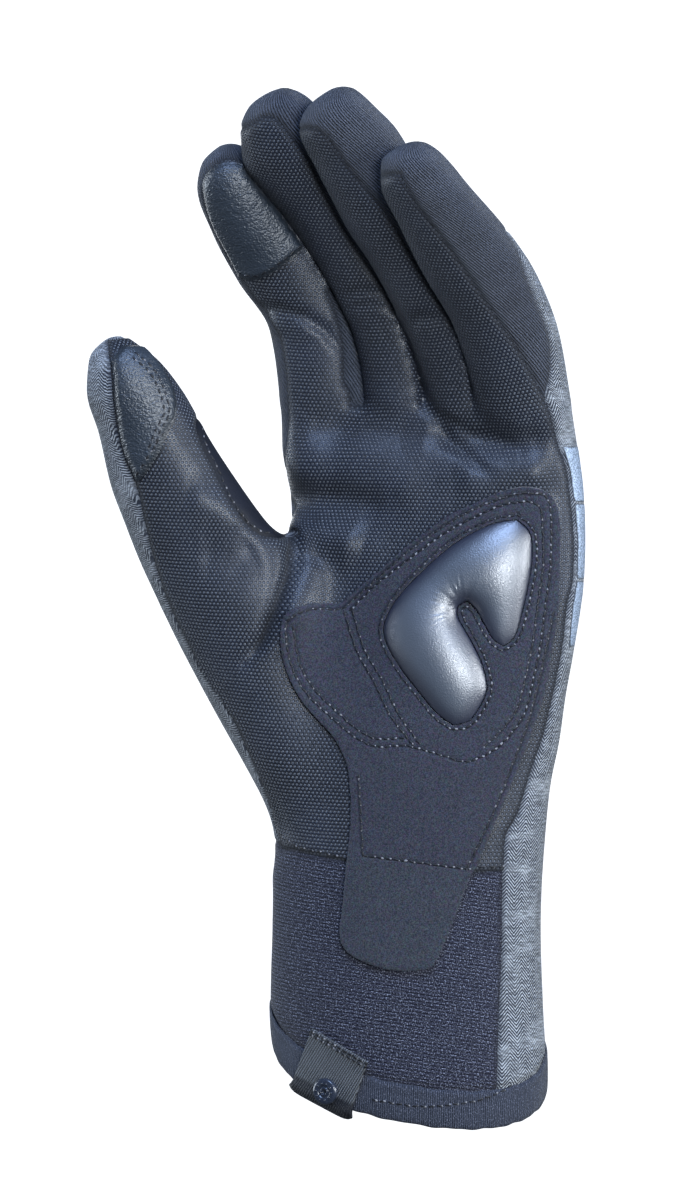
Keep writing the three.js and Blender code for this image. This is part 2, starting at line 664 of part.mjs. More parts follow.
addPiece("palm_panel", palmPanel, "leather");
addPiece("thumb_panel", thumbPanel, "leather");
addPiece("thumb_gusset", thumbGusset, "gusset");
addPiece("thumb_back", thumbBack, "heather");
addPiece("back_panel", backPanel, "heather");
knits.forEach(({ name, body: made }) => addPiece(name + "_knit", made, "knit"));
addPiece("cuff_knit", cuffKnit, "knit");
addPiece("heel_overlay", heelOverlay, "suede");
addPiece("gel_pad", gelPad, "gel");
addPiece("index_patch", indexPatch, "grain");
addPiece("thumb_patch", thumbPatch, "grain");
REFLECTORS.forEach((row) => addPiece(row.name, reflector(row), "reflective"));
addPiece("hem_binding", hemBinding, "binding");
addPiece("pull_tab", pullTab, "webbing");
addPiece("snap_button", snapButton(), "plastic");

export default glove;
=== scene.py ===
"""A left-hand winter cycling glove, held as worn: sewn panels, knits, a gel pad, stitches, a hem and a tab.

Lengths in the tables are millimetres. The palm faces -Y, the fingers point up along +Z and the thumb
towards -X.
"""

import math

import bmesh
import bpy
import numpy as np
from bpy.props import FloatProperty, FloatVectorProperty, PointerProperty
from mathutils import Matrix, Vector, noise
from mathutils.bvhtree import BVHTree
from mathutils.kdtree import KDTree


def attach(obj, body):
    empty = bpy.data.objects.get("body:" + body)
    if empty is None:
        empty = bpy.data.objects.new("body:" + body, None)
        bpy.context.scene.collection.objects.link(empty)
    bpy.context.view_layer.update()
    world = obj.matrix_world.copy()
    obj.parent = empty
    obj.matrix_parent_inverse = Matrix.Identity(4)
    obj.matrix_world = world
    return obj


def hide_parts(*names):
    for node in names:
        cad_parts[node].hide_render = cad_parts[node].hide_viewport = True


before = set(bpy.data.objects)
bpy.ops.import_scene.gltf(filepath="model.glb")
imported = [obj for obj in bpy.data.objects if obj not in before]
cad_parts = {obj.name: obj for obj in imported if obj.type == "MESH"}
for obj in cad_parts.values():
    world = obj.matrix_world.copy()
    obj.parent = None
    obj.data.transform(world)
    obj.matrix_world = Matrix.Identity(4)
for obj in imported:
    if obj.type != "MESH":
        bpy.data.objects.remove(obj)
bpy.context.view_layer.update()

bl_info = {
    "name": "Winter cycling glove",
    "version": (1, 0, 0),
    "blender": (4, 5, 0),
    "location": "3D View > Sidebar > Glove",
    "description": "Builds the sewn panels, trims and stage of a winter cycling glove",
    "category": "Object",
}

MM = 0.001
# The grain of the skin's even mesh.
VOXEL = 0.88
WALL = 1.6
# How far overlay, pad and patches stand off the skin.
GAP = 0.3
# Half the width of the slit that the mesh needs between two fingers.
SLIT = 0.85
# The hem's plane rises by these shares of x and y.
HEM_X, HEM_Y = -0.08, 0.68
# How far from a panel's edge its field is worked out.
REACH = 7.0
# The height of the hem's binding on the outside.
BAND = 9.5
# The height at which the fingers part.
CROTCH = 174.0
FINGERS = ("index", "middle", "ring", "pinky")

# Each form is a stack of level sections from its top down: z, the edges left and right in x, the depths far
# and near of the middle line at those edges, and half the thickness.
SECTIONS = {
    "hand": [
        (178.2, -27, 36, 0, -15.5, 5), (174.5, -33.5, 43.5, 2, -18, 11), (167, -34.8, 45.6, 2.5, -19, 13.2),
        (159, -33.2, 46.7, 2.5, -19, 14), (151, -32.3, 47.3, 2.5, -19, 14.7),
        (140, -33, 47.5, 2, -18.5, 15.6), (132, -33.8, 47.3, 1.5, -18.2, 16.2),
        (110, -36, 44.4, 0, -17, 17.5), (98, -37, 42.3, -1, -16, 18), (87, -38, 40.7, -1.5, -15, 18.5),
        (75, -37.6, 38.3, -2, -14.5, 18.8), (66, -37, 37.3, -2, -14, 19), (46, -36.8, 36, -1, -11.5, 19.8),
        (36, -37, 35.8, 0, -10, 20.5), (16, -37.4, 36.4, 3, -7, 22.5), (0, -36.5, 37.2, 5, -5, 23.7),
        (-28, -37.2, 37, 8.5, -1.5, 25),
    ],
    "thumb": [
        (195.6, -80.8, -76, -15, -15, 2.5), (193.6, -83.6, -73, -15, -15, 5.6),
        (190.2, -86.2, -68.4, -15, -15, 8.8), (181, -87, -61, -14, -14, 11.4),
        (169.6, -83.8, -54.5, -12, -13, 12), (155.3, -80.5, -44.7, -9.5, -12, 12.5),
        (146.3, -77.2, -37.5, -8, -11, 13.3), (135.3, -72.9, -27, -6, -10, 14.5),
        (123, -67.2, -22.7, -4.5, -9, 15.5), (116, -64, -21, -3.5, -8.5, 16),
        (97.7, -55, -18.6, -2, -7, 16.5), (87.2, -49.7, -18.6, -2, -7, 16.5),
        (75, -43.5, -20, -3, -8, 15.5), (66, -38.3, -21.3, -4, -8, 13.5), (57, -35, -25, -5, -8, 9),
    ],
    "index": [
        (247.6, -50.4, -45.8, -15.5, -15.5, 2.5), (245.7, -53.2, -43.6, -15.3, -15.3, 5.6),
        (242.4, -56, -41.4, -14.8, -14.8, 8.4), (236, -57.2, -38, -13.4, -13.4, 10),
        (224, -53.2, -29.2, -9.5, -9.5, 10.5), (211, -46.2, -18.5, -5.6, -5.6, 10.5),
        (198, -37.8, -12.4, -3, -3, 10.5), (178.7, -35.1, -9, -0.5, -1, 10.6),
        (166, -34.4, -12, 0.5, -2.5, 11), (150, -31.5, -14, 1, -2.5, 10),
    ],
    "middle": [
        (261.9, -35.8, -31.2, -31, -31, 2.5), (260.2, -39.4, -27.8, -30.7, -30.7, 5.6),
        (257, -43.2, -24.6, -29.8, -29.8, 8.4), (251, -45.4, -22.2, -27.4, -27.4, 10),
        (241.9, -44, -18.4, -23.5, -23.5, 10.4), (234.6, -38.6, -14, -20, -20, 10.4),
        (227.9, -32.9, -9.7, -17.2, -17.2, 10.4), (218, -26.2, -4.6, -13.8, -13.8, 10.4),
        (202, -17.6, 2.6, -10.2, -10.2, 10.3), (197.9, -15.4, 4, -9.5, -9.5, 10.2),
        (183, -12, 7, -7, -8, 10.2), (166, -11.3, 7.6, -5.5, -7.5, 11), (150, -10, 7, -5, -7, 10),
    ],
    "ring": [
        (261.6, -20.2, -15.2, -44, -44, 2.5), (259.8, -23.4, -12.6, -43.8, -43.8, 5.6),
        (256.8, -27, -9.4, -43.1, -43.1, 8.4), (251, -29.2, -3.6, -41.2, -41.2, 10.2),
        (240.3, -24.6, 2.4, -37, -37, 10.7), (232.2, -20.5, 5.1, -33.5, -33.5, 10.7),
        (224.6, -16.5, 8.1, -30.2, -30.2, 10.6), (215.5, -10.3, 11.9, -26.5, -26.5, 10.5),
        (200, -2, 17.2, -20.7, -21, 10.3), (195.5, 0.2, 18.8, -19, -19.5, 10.2),
        (177.4, 5.2, 21.6, -13, -14.5, 10.2), (166, 6.2, 22.6, -11, -13, 10.8), (150, 7, 21, -9, -12, 10),
    ],
    "pinky": [
        (246.5, -0.6, 4.2, -54, -54, 2.5), (244.7, -4.2, 7.2, -54, -54, 5.6),
        (241.6, -7.4, 10.4, -53.4, -53.4, 8.4), (236, -7.6, 15.2, -51, -51, 10),
        (225, -2.6, 25, -45.8, -45.4, 10.8), (212, 4, 34, -39.2, -37.6, 11),
        (196, 13, 40.4, -30.5, -28.6, 11), (180.9, 17.3, 43.3, -22.5, -22, 11),
        (166, 18.6, 45.2, -15.6, -19, 11.5), (150, 20, 44, -13, -17, 11),
    ],
}
# The points round each form's section, and the power of its rounded outline, which is 2 for an ellipse.
SIDES = {"hand": 120, "thumb": 72, **dict.fromkeys(FINGERS, 64)}
POWER = {"hand": 2.3, "thumb": 2.1, **dict.fromkeys(FINGERS, 2.15)}
FORM_NAMES = tuple(SECTIONS)
# The least half width and half depth that a section is worked out with.
LEAST = 0.4

# Panel outlines as seen from the palm side, as x and z. Points past the edge only say on which side the panel
# goes on.
PALM = [
    (-30, 57), (-15.7, 54), (5.7, 51.3), (25.6, 51.8), (26, 61), (29.4, 67.5), (32.7, 78), (36.2, 88),
    (38.9, 99), (41.3, 111), (42.7, 123), (44.3, 130), (44.6, 140), (43.7, 150.5), (42.4, 159.5),
    (40.5, 166.3), (39, 171.5), (36.5, 178.7), (30, 190), (-33.2, 190), (-33.2, 176), (-33.4, 170.6),
    (-32.8, 165), (-31.7, 159.8), (-30.8, 154), (-31.2, 149), (-32.2, 142), (-31.6, 133), (-34.8, 124),
    (-39, 114.5), (-43, 109), (-51.5, 99.5), (-47, 91), (-42, 79.5), (-38, 70), (-35, 59.7),
]
INDEX_FRONT = [
    (-15.4, 150), (-15.4, 178), (-17.3, 184), (-17.8, 195), (-21.3, 207.4), (-28, 220.6), (-33.4, 228),
    (-38.6, 235.4), (-43.5, 242), (-48.6, 244.2), (-53.4, 241.4), (-55.4, 235.4), (-54.4, 230),
    (-52.5, 224.6), (-49.7, 219.2), (-46.4, 213.8), (-43.2, 208.4), (-39.5, 203), (-35.7, 197.6),
    (-34.4, 192), (-33.5, 186), (-33.2, 178), (-33.2, 150),
]
MIDDLE_FRONT = [
    (5, 150), (5.1, 177.4), (3, 186.8), (-1, 197.6), (-4.9, 205.7), (-12.2, 216.5), (-18, 225.5),
    (-22.7, 233.8), (-26.7, 242), (-31.3, 248.7), (-35.4, 253.3), (-38.6, 254.3), (-43.7, 252), (-60, 247),
    (-60, 150),
]
RING_FRONT = [
    (17.6, 150), (17.8, 177.4), (15.4, 189.5), (11, 200), (4.3, 211), (-2.4, 222), (-6.8, 228.7),
    (-10.3, 233), (-16.5, 240.3), (-22.7, 248.7), (-28, 250.8), (-45, 250), (-45, 150),
]
PINKY_FRONT = [
    (36, 150), (36.5, 178), (35.6, 180.4), (28.6, 192.5), (21.6, 202.5), (14, 213.6), (8.6, 221),
    (2.4, 229), (-1.9, 236), (-4.6, 238), (-30, 236), (-30, 150),
]
THUMB_FRONT = [
    (-81.5, 195), (-80.5, 187), (-79.6, 177), (-77.7, 166), (-73.5, 155), (-71.7, 147), (-69.4, 137),
    (-66.5, 127.5), (-64.5, 122.5), (-58.9, 111), (-51.9, 99.6), (-46, 98), (-36, 108), (-30, 120),
    (-27, 133), (-27, 146), (-40, 150), (-50, 168), (-54, 182), (-66, 197),
]
GUSSET = [
    (-57.1, 173.4), (-56, 167.4), (-52.6, 160.2), (-48.3, 150.9), (-42.7, 144.1), (-38.4, 141.9),
    (-34.5, 141.5), (-32.8, 143), (-33.6, 147), (-45, 175), (-54, 182),
]
PINKY_BACK = [
    (36.3, 175), (36.2, 179.5), (38, 186), (37.5, 195.5), (34.5, 203), (31.6, 210), (29.2, 217.6),
    (25.6, 223.6), (60, 223.6), (60, 175),
]
HEEL = [
    (-34, 118.8), (-32, 121.8), (-26.2, 123.6), (-18.6, 123.6), (-15.4, 126), (-9, 131.4), (-0.3, 139),
    (10.2, 146.9), (18.4, 151), (26.4, 154.4), (33.2, 155.2), (38, 152.5), (40.2, 146.3), (40.2, 132.8),
    (39.7, 122), (38, 111.2), (36.2, 100.4), (33.2, 91), (30, 82.4), (25.9, 72), (21, 60.5), (17.6, 52.4),
    (16.2, 50), (10.5, 34.8), (7.3, 27.8), (4.6, 25.4), (-4.6, 25.1), (-13, 27.8), (-17, 30.8), (-18.4, 35),
    (-17.6, 42), (-16.5, 53.7), (-15.4, 65.3), (-16, 78.3), (-18.4, 84.8), (-21.3, 89), (-28.6, 97),
    (-32.7, 104.5), (-34.6, 112),
]
INDEX_PATCH = [
    (-54.9, 238), (-52.8, 240.8), (-49.4, 242.4), (-46, 242.2), (-43.6, 241), (-38.8, 235), (-33.2, 227),
    (-29, 220.6), (-29, 219.2), (-33, 216), (-37, 213), (-42, 211.2), (-45.6, 212), (-48.9, 218.4),
    (-52.1, 224.6), (-54.1, 230), (-55.1, 235),
]
THUMB_PATCH = [
    (-80.2, 189), (-79.6, 187), (-78.8, 177), (-76.9, 166), (-73.4, 157), (-71.9, 157.6), (-67, 165),
    (-65.4, 169.6), (-63, 174.6), (-63.6, 181), (-67, 187.4), (-72, 192.6), (-77, 193),
]
CUFF = [
    (-60, 66), (-37.4, 59.8), (-34.6, 59.6), (-30, 60.5), (-15.7, 57), (5.7, 54.5), (25.2, 54.5), (25, 31),
    (24.3, 12.5), (23.8, -6), (23.8, -40), (-60, -40),
]
THUMB_BACK = [(-34.5, 59.5), (-34.5, 143), (-44, 168), (-60, 200), (-120, 220), (-120, 59.5)]
PAD = [
    (29, 146.4), (23.5, 145.6), (17.5, 143), (10.5, 138.6), (2.7, 131.5), (-3, 125.2), (-6.4, 118.8),
    (-6.4, 114), (-3, 107.4), (2.2, 100.4), (7.5, 94), (12, 90.8), (16.6, 92.4), (20.4, 98.5), (21, 102.4),
    (19.6, 108), (16.7, 114), (13.4, 120), (13.4, 122.9), (15.7, 124.2), (18, 121.8), (20.4, 117.4),
    (22.6, 114), (25.4, 112), (28.6, 115.2), (30.6, 121.8), (32.7, 131.8), (33.2, 138.8), (32.2, 143.4),
]
# The distance of the pad's row of stitches from its edge.
PAD_ROW = 1.1
TAB_CORNERS = ((-25.8, 9.2), (-10.9, 0.4), (-30.7, -4.9), (-15.4, -12.6))
TAB_LIFT, TAB_THICK = 1.0, 1.1
STUD = (-22.5, -7.8)
REFLECTOR_EDGE = [(43, 112), (43.8, 122), (45.2, 130), (45.4, 140), (44.6, 150), (43.2, 159), (41.4, 166)]
REFLECTORS = {
    "reflector_upper": (151.2, 166), "reflector_middle": (130.4, 150.6), "reflector_lower": (112, 129.8),
}
REFLECTOR_FRONT = -20.0
# The height on each finger's back at which the grey fabric ends.
BACK_TOPS = {"index": 212, "middle": 224, "ring": 223, "pinky": 223.6}
# How far the grey fabric begins behind a form's middle surface.
BACK_SHIFT = 1.5
# Where the fingers' knit begins, and the strip of it that runs down the hand's edge to the thumb ends.
KNIT_FOOT, STRIP_FOOT, STRIP_EDGE = 176.5, 141.5, -18
# The palm's own outline holds up to here, and each finger's above it.
PALM_TOP = 177.5

# Which outline a panel takes from each form, and how far behind the form's middle surface it reaches.
COVERS = {
    "palm": {"hand": (PALM, 2), "thumb": (PALM, 1), "index": (INDEX_FRONT, 1), "middle": (MIDDLE_FRONT, 1),
             "ring": (RING_FRONT, 1), "pinky": (PINKY_FRONT, 1)},
    "gusset": {"thumb": (GUSSET, 7), "hand": (GUSSET, 2)},
    "thumb": {"thumb": (THUMB_FRONT, 1), "hand": (THUMB_FRONT, 2)},
    "cuff": {"hand": (CUFF, 5)},
    "index_patch": {"index": (INDEX_PATCH, 0)},
    "thumb_patch": {"thumb": (THUMB_PATCH, -1)},
}
# Where the crease between thumb and palm ends.
CREASE_END = (-48.5, 103.5)

# Folds of the palm: height (a hollow is negative), width, and the line that each follows.
FOLDS = [
    (-2.0, 5.5, [(-31, 172), (-22, 171.5), (-8, 171), (4, 169)]),
    (-2.4, 4.2, [(4, 170), (16, 168), (30, 166.5), (40, 168)]),
    (1.5, 7, [(-36, 163), (-20, 161), (-6, 158), (6, 153)]),
    (-1.6, 4, [(-33, 153), (-20, 152), (-6, 150)]),
    (3.2, 5.5, [(-33, 141), (-24, 142), (-12, 138.5)]),
    (1.8, 5.5, [(12, 157), (26, 158), (38, 159)]),
    (-2.4, 2.2, [(-31, 141.8), (-31.6, 133), (-34.8, 124), (-39, 114.5), (-44, 108)]),
    (2.2, 5, [(-26, 136), (-28, 127), (-32, 117)]),
    (-1.4, 6, [(-57, 137), (-47, 136), (-40, 139)]),
    (1.2, 5, [(-60, 152), (-52, 150), (-44, 145)]),
    (-1.0, 1.6, [(-43, 203.6), (-35, 203), (-28, 201), (-22, 197), (-18.5, 192)]),
    (0.6, 2.6, [(-40, 199), (-32, 199), (-25, 196)]),
    (-0.8, 1.5, [(-17, 207), (-12, 208), (-6.5, 207)]),
    (-0.5, 1.2, [(-15, 203.5), (-10, 204.5), (-4, 203)]),
    (-0.9, 1.8, [(0, 199.5), (4.5, 200.5), (9, 200)]),
    (-1.2, 1.8, [(4.5, 178), (10, 168), (22, 158)]),
    (-0.8, 1.5, [(5, 176), (16, 170), (30, 165)]),
]


def hill(distance, width):
    """A smooth rise to 1 where a distance is nought."""
    return np.exp(-(distance / width) ** 2)


def eased(t, start, end, leave, arrive):
    """The smooth way from start to end at shares t of it, with its slopes at both."""
    first = (1 + 2 * t) * (1 - t) ** 2 * start + t * (1 - t) ** 2 * leave
    return first + t * t * (3 - 2 * t) * end + t * t * (t - 1) * arrive


def lengths(points):
    """How far along a line each of its points lies."""
    return np.concatenate([[0], np.cumsum(np.linalg.norm(np.diff(points, axis=0), axis=1))])


def rounded(angle, power):
    """The cosine and sine of an angle on an outline between an ellipse and a box."""
    cos, sin = np.cos(angle), np.sin(angle)
    return np.sign(cos) * np.abs(cos) ** (2 / power), np.sign(sin) * np.abs(sin) ** (2 / power)


def monotone(x, y, at):
    """Values at places on a smooth curve through points that never swings past them."""
    gap = np.diff(x)
    rise = np.diff(y) / gap
    slope = np.zeros(len(x))
    same = rise[:-1] * rise[1:] > 0
    w1, w2 = 2 * gap[1:] + gap[:-1], gap[1:] + 2 * gap[:-1]
    safe = np.where(same, rise[:-1], 1), np.where(same, rise[1:], 1)
    slope[1:-1] = np.where(same, (w1 + w2) / (w1 / safe[0] + w2 / safe[1]), 0)
    slope[0], slope[-1] = rise[0], rise[-1]
    i = np.clip(np.searchsorted(x, at) - 1, 0, len(gap) - 1)
    return eased((at - x[i]) / gap[i], y[i], y[i + 1], gap[i] * slope[i], gap[i] * slope[i + 1])


def dense_rows(rows, step=1.0):
    """The sections of a form about a step apart, from the bottom up, closed over the tip."""
    rows = np.array(rows, float)
    z, left, right, far, near, _ = rows[0]
    middle = (left + right) / 2
    tip = np.array([[z + 0.5, middle - 0.4, middle + 0.4, far, near, 0.4]])
    rows = np.concatenate([tip, rows])[::-1]
    along = np.concatenate([[0], np.cumsum(np.hypot(np.diff(rows[:, 0]), np.diff(rows[:, 5])))])
    at = np.linspace(0, along[-1], int(along[-1] / step) + 2)
    return np.column_stack([monotone(along, rows[:, c], at) for c in range(6)])


ROWS = {name: dense_rows(rows) for name, rows in SECTIONS.items()}


def section(name, z):
    """The form's left, right, far, near and half at heights z."""
    rows = ROWS[name]
    return [np.interp(z, rows[:, 0], rows[:, c]) for c in range(1, 6)]


def rings(name):
    """The form's rings of points, with neighbouring fingers pressed flat where they meet."""
    rows = ROWS[name]
    across, deep = rounded(np.linspace(0, 2 * math.pi, SIDES[name], endpoint=False), POWER[name])
    z, left, right, far, near, half = (rows[:, c, None] for c in range(6))
    x = (left + right) / 2 + (right - left) / 2 * across
    y = far + (near - far) * (across + 1) / 2 + half * deep
    points = np.stack([x, y, z + 0 * x], axis=2)
    for first, second in zip(FINGERS, FINGERS[1:]):
        if name in (first, second):
            press(points, first, second, 1 if name == first else -1)
    return points


def meeting(first, second, z):
    """Where two fingers meet at heights z: a point between them and the way from one to the other."""
    a, b = section(first, z), section(second, z)
    start = np.stack([(a[0] + a[1]) / 2, (a[2] + a[3]) / 2], axis=1)
    way = np.stack([(b[0] + b[1]) / 2, (b[2] + b[3]) / 2], axis=1) - start
    distance = np.linalg.norm(way, axis=1)
    way /= distance[:, None]

    def radius(row):
        return np.hypot((row[1] - row[0]) / 2 * way[:, 0], row[4] * way[:, 1])

    return start + way * ((distance + radius(a) - radius(b)) / 2)[:, None], way


def press(points, first, second, sign):
    """Moves a ring's points that lie past the line between two fingers back to it."""
    z = points[:, 0, 2]
    middle, way = meeting(first, second, z)
    past = sign * ((points[:, :, :2] - middle[:, None]) * way[:, None]).sum(axis=2) + SLIT
    strength = np.clip((z - CROTCH) / 3, 0, 1)[:, None]
    points[:, :, :2] -= (sign * np.maximum(past, 0) * strength)[:, :, None] * way[:, None]


def closed_slits(points, near):
    """Brings the facing sides of neighbouring fingers together, so that only a line stays between them."""
    # A side up to SLIT away from the middle comes to about 0.1 from it, and one 4 away stays.
    before, after = (0, SLIT, 4), (0.08, 0.12, 4)
    for first, second in zip(FINGERS, FINGERS[1:]):
        for name, sign in ((first, 1), (second, -1)):
            own = np.flatnonzero((near == FORM_NAMES.index(name)) & (points[:, 2] > CROTCH + 1))
            middle, way = meeting(first, second, points[own, 2])
            away = -sign * ((points[own, :2] - middle) * way).sum(axis=1)
            wanted = np.where(away < before[-1], np.interp(away, before, after), away)
            strength = np.clip((points[own, 2] - CROTCH - 1) / 5, 0, 1)
            points[own, :2] += (sign * (away - wanted) * strength)[:, None] * way
    return points


def drawn(points, step=0.7, corner=48):
    """A closed outline through points, smooth except at its sharp corners."""
    p = np.array(points, float)
    before, after = np.roll(p, 1, axis=0), np.roll(p, -1, axis=0)
    one, two = p - before, after - p
    turn = np.arctan2(one[:, 0] * two[:, 1] - one[:, 1] * two[:, 0], (one * two).sum(axis=1))
    sharp = np.abs(turn) > math.radians(corner)
    out = []
    for i in range(len(p)):
        j = (i + 1) % len(p)
        start = p[i] - (p[j] - p[i]) if sharp[i] else before[i]
        end = p[j] + (p[j] - p[i]) if sharp[j] else after[j]
        count = int(np.clip(np.linalg.norm(p[j] - p[i]) / step, 2, 24))
        t = np.linspace(0, 1, count, endpoint=False)[:, None]
        out.append(eased(t, p[i], p[j], (p[j] - start) / 2, (end - p[i]) / 2))
    return np.concatenate(out)


def to_line(line, x, z, closed=False):
    """The distance of points from a line, and how far along the line the nearest place is."""
    line = np.asarray(line, float)
    ends = np.roll(line, -1, axis=0) if closed else line[1:]
    starts = line if closed else line[:-1]
    span = ends - starts
    size = np.maximum((span ** 2).sum(axis=1), 1e-9)
    start_at = np.concatenate([[0], np.cumsum(np.sqrt(size))])
    best, along = np.full(len(x), 1e9), np.zeros(len(x))
    for (sx, sz), (dx, dz), s2, at in zip(starts, span, size, start_at):
        t = np.clip(((x - sx) * dx + (z - sz) * dz) / s2, 0, 1)
        d = np.hypot(x - sx - t * dx, z - sz - t * dz)
        nearer = d < best
        best = np.where(nearer, d, best)
        along = np.where(nearer, at + t * math.sqrt(s2), along)
    return best, along / start_at[-1]


def inside(outline, x, z, reach=REACH):
    """How far points lie inside an outline, negative outside it, both up to a reach."""
    outline = drawn(outline) if len(outline) < 100 else outline
    low, high = outline.min(axis=0) - reach, outline.max(axis=0) + reach
    found = np.flatnonzero((x > low[0]) & (x < high[0]) & (z > low[1]) & (z < high[1]))
    value = np.full(len(x), -reach)
    px, pz = x[found], z[found]
    within = np.zeros(len(found), bool)
    ends = np.roll(outline, -1, axis=0)
    for (ax, az), (bx, bz) in zip(outline, ends):
        if az != bz:
            crossing = (az > pz) != (bz > pz)
            within ^= crossing & (px < (bx - ax) * (pz - az) / (bz - az) + ax)
    distance, _ = to_line(outline, px, pz, closed=True)
    value[found] = np.clip(np.where(within, distance, -distance), -reach, reach)
    return value


def inflated(outline, x, z, step=0.5, rounds=3000, fullness=0.68):
    """The height, up to 1, that a skin blown up over an outline has at places."""
    outline = drawn(outline)
    low = outline.min(axis=0) - 2 * step
    count = ((outline.max(axis=0) + 2 * step - low) / step).astype(int) + 1
    gx, gz = np.meshgrid(*(low[k] + step * np.arange(count[k]) for k in (0, 1)), indexing="ij")
    depth = inside(outline, gx.ravel(), gz.ravel()).reshape(gx.shape)
    open_to = np.clip(depth / step + 0.5, 0, 1)
    height = np.zeros(gx.shape)
    for _ in range(rounds):
        middle = height[:-2, 1:-1] + height[2:, 1:-1] + height[1:-1, :-2] + height[1:-1, 2:]
        height[1:-1, 1:-1] = open_to[1:-1, 1:-1] * (middle + step * step) / 4
    height = (height / height.max()) ** fullness
    u, v = (x - low[0]) / step, (z - low[1]) / step
    i, j = np.clip(u.astype(int), 0, count[0] - 2), np.clip(v.astype(int), 0, count[1] - 2)
    u, v = u - i, v - j
    near = height[i, j] * (1 - v) + height[i, j + 1] * v
    return near * (1 - u) + (height[i + 1, j] * (1 - v) + height[i + 1, j + 1] * v) * u


def in_section(name, x, y, z):
    """Where points lie in a form's sections: across and deep, from -1 to 1, and the smaller half."""
    left, right, far, near, half = section(name, z)
    reach = np.maximum((right - left) / 2, LEAST)
    across = (x - (left + right) / 2) / reach
    line = far + (near - far) * (across + 1) / 2
    return across, (y - line) / np.maximum(half, LEAST), np.minimum(reach, half)


def outside_form(name, p):
    """About how far points lie outside a form."""
    across, deep, reach = in_section(name, *p.T)
    power = POWER[name]
    value = ((np.abs(across) ** power + np.abs(deep) ** power) ** (1 / power) - 1) * reach
    rows = ROWS[name]
    past = np.maximum(p[:, 2] - rows[-1, 0], 0) + np.maximum(rows[0, 0] - p[:, 2], 0)
    return value + 2 * past


def front_of(name, p, shift):
    """How far points lie in front of the form's middle surface, moved back by a shift."""
    left, right, far, near, _ = section(name, p[:, 2])
    slope = (near - far) / np.maximum(8, right - left)
    return far + slope * (p[:, 0] - left) + shift - p[:, 1]


def hand_point(angle, height, lift):
    """Points on the hand's form, lifted outwards, at angles round it and heights above the slanted hem."""
    across, deep = rounded(angle, POWER["hand"])
    z = height + 0 * angle
    # Each round brings the point nearer to the hem's slanted plane.
    for _ in range(6):
        left, right, far, near, half = section("hand", z)
        x = (left + right) / 2 + ((right - left) / 2 + lift) * across
        y = far + (near - far) * (across + 1) / 2 + (half + lift) * deep
        z = HEM_X * x + HEM_Y * y + height
    return np.stack([x, y, z], axis=-1)


def over(place, lift):
    """The point of the hand's front at a place seen from the palm side, lifted."""
    x, z = place
    left, right, far, near, half = (float(v[0]) for v in section("hand", np.array([z])))
    power = POWER["hand"]
    u = np.clip((x - (left + right) / 2) / ((right - left) / 2 + lift), -0.98, 0.98)
    line = far + (near - far) * (u + 1) / 2
    return np.array([x, line - (half + lift) * (1 - abs(u) ** power) ** (1 / power), z])


def mesh_of(name, points, faces):
    """A mesh of triangles or quads from points in millimetres."""
    mesh = bpy.data.meshes.new(name)
    faces = np.asarray(faces, np.int32)
    corners = faces.shape[1]
    mesh.vertices.add(len(points))
    mesh.vertices.foreach_set("co", (np.asarray(points) * MM).astype(np.float32).ravel())
    mesh.loops.add(faces.size)
    mesh.loops.foreach_set("vertex_index", faces.ravel())
    mesh.polygons.add(len(faces))
    mesh.polygons.foreach_set("loop_start", np.arange(len(faces), dtype=np.int32) * corners)
    mesh.update(calc_edges=True)
    return mesh


def placed(mesh):
    """A new object of a mesh, in the scene."""
    made = bpy.data.objects.new(mesh.name, mesh)
    bpy.context.scene.collection.objects.link(made)
    return made


def active(obj):
    """Makes an object the only selected one."""
    bpy.ops.object.select_all(action="DESELECT")
    obj.select_set(True)
    bpy.context.view_layer.objects.active = obj


def applied(obj, kind, **settings):
    """Adds a modifier to an object and applies it."""
    modifier = obj.modifiers.new(kind.lower(), kind)
    for name, value in settings.items():
        setattr(modifier, name, value)
    active(obj)
    bpy.ops.object.modifier_apply(modifier=modifier.name)


def array_of(collection, attribute, width, kind=np.float64):
    """One attribute of a mesh's points, edges, corners or triangles, a row for each."""
    values = np.zeros(len(collection) * width, np.float32 if kind is np.float64 else np.int32)
    collection.foreach_get(attribute, values)
    return values.reshape(-1, width).astype(kind) if width > 1 else values.astype(kind)


def neighbour_mean(points, edges):
    """The mean of each point's neighbours along edges."""
    count = np.maximum(np.bincount(edges.ravel(), minlength=len(points)), 1)
    total = np.empty_like(points)
    both = np.concatenate([edges[:, 0], edges[:, 1]])
    other = np.concatenate([edges[:, 1], edges[:, 0]])
    for c in range(points.shape[1]):
        total[:, c] = np.bincount(both, weights=points[other, c], minlength=len(points))
    return total / count[:, None]


def smoothed(points, edges, rounds=8, share=0.5, back=0.52):
    """Evens out a surface without shrinking it."""
    for _ in range(rounds):
        points = points + share * (neighbour_mean(points, edges) - points)
        points = points - back * (neighbour_mean(points, edges) - points)
    return points


def sides_of(faces):
    """The edges of triangles, each in its triangle's own direction."""
    return np.concatenate([faces[:, [0, 1]], faces[:, [1, 2]], faces[:, [2, 0]]])


def in_four(a, b, c, ab, bc, ca):
    """Triangles as four each, from their corners and the middles of their sides."""
    return [np.stack(f, axis=1) for f in ((a, ab, ca), (ab, b, bc), (ca, bc, c), (ab, bc, ca))]


def normals_of(points, faces):
    """The normal at each point, from the triangles round it."""
    a, b, c = (points[faces[:, k]] for k in range(3))
    cross = np.cross(b - a, c - a)
    total = np.zeros_like(points)
    for c in range(3):
        for k in range(3):
            total[:, c] += np.bincount(faces[:, k], weights=cross[:, c], minlength=len(points))
    return total / np.maximum(np.linalg.norm(total, axis=1, keepdims=True), 1e-12)


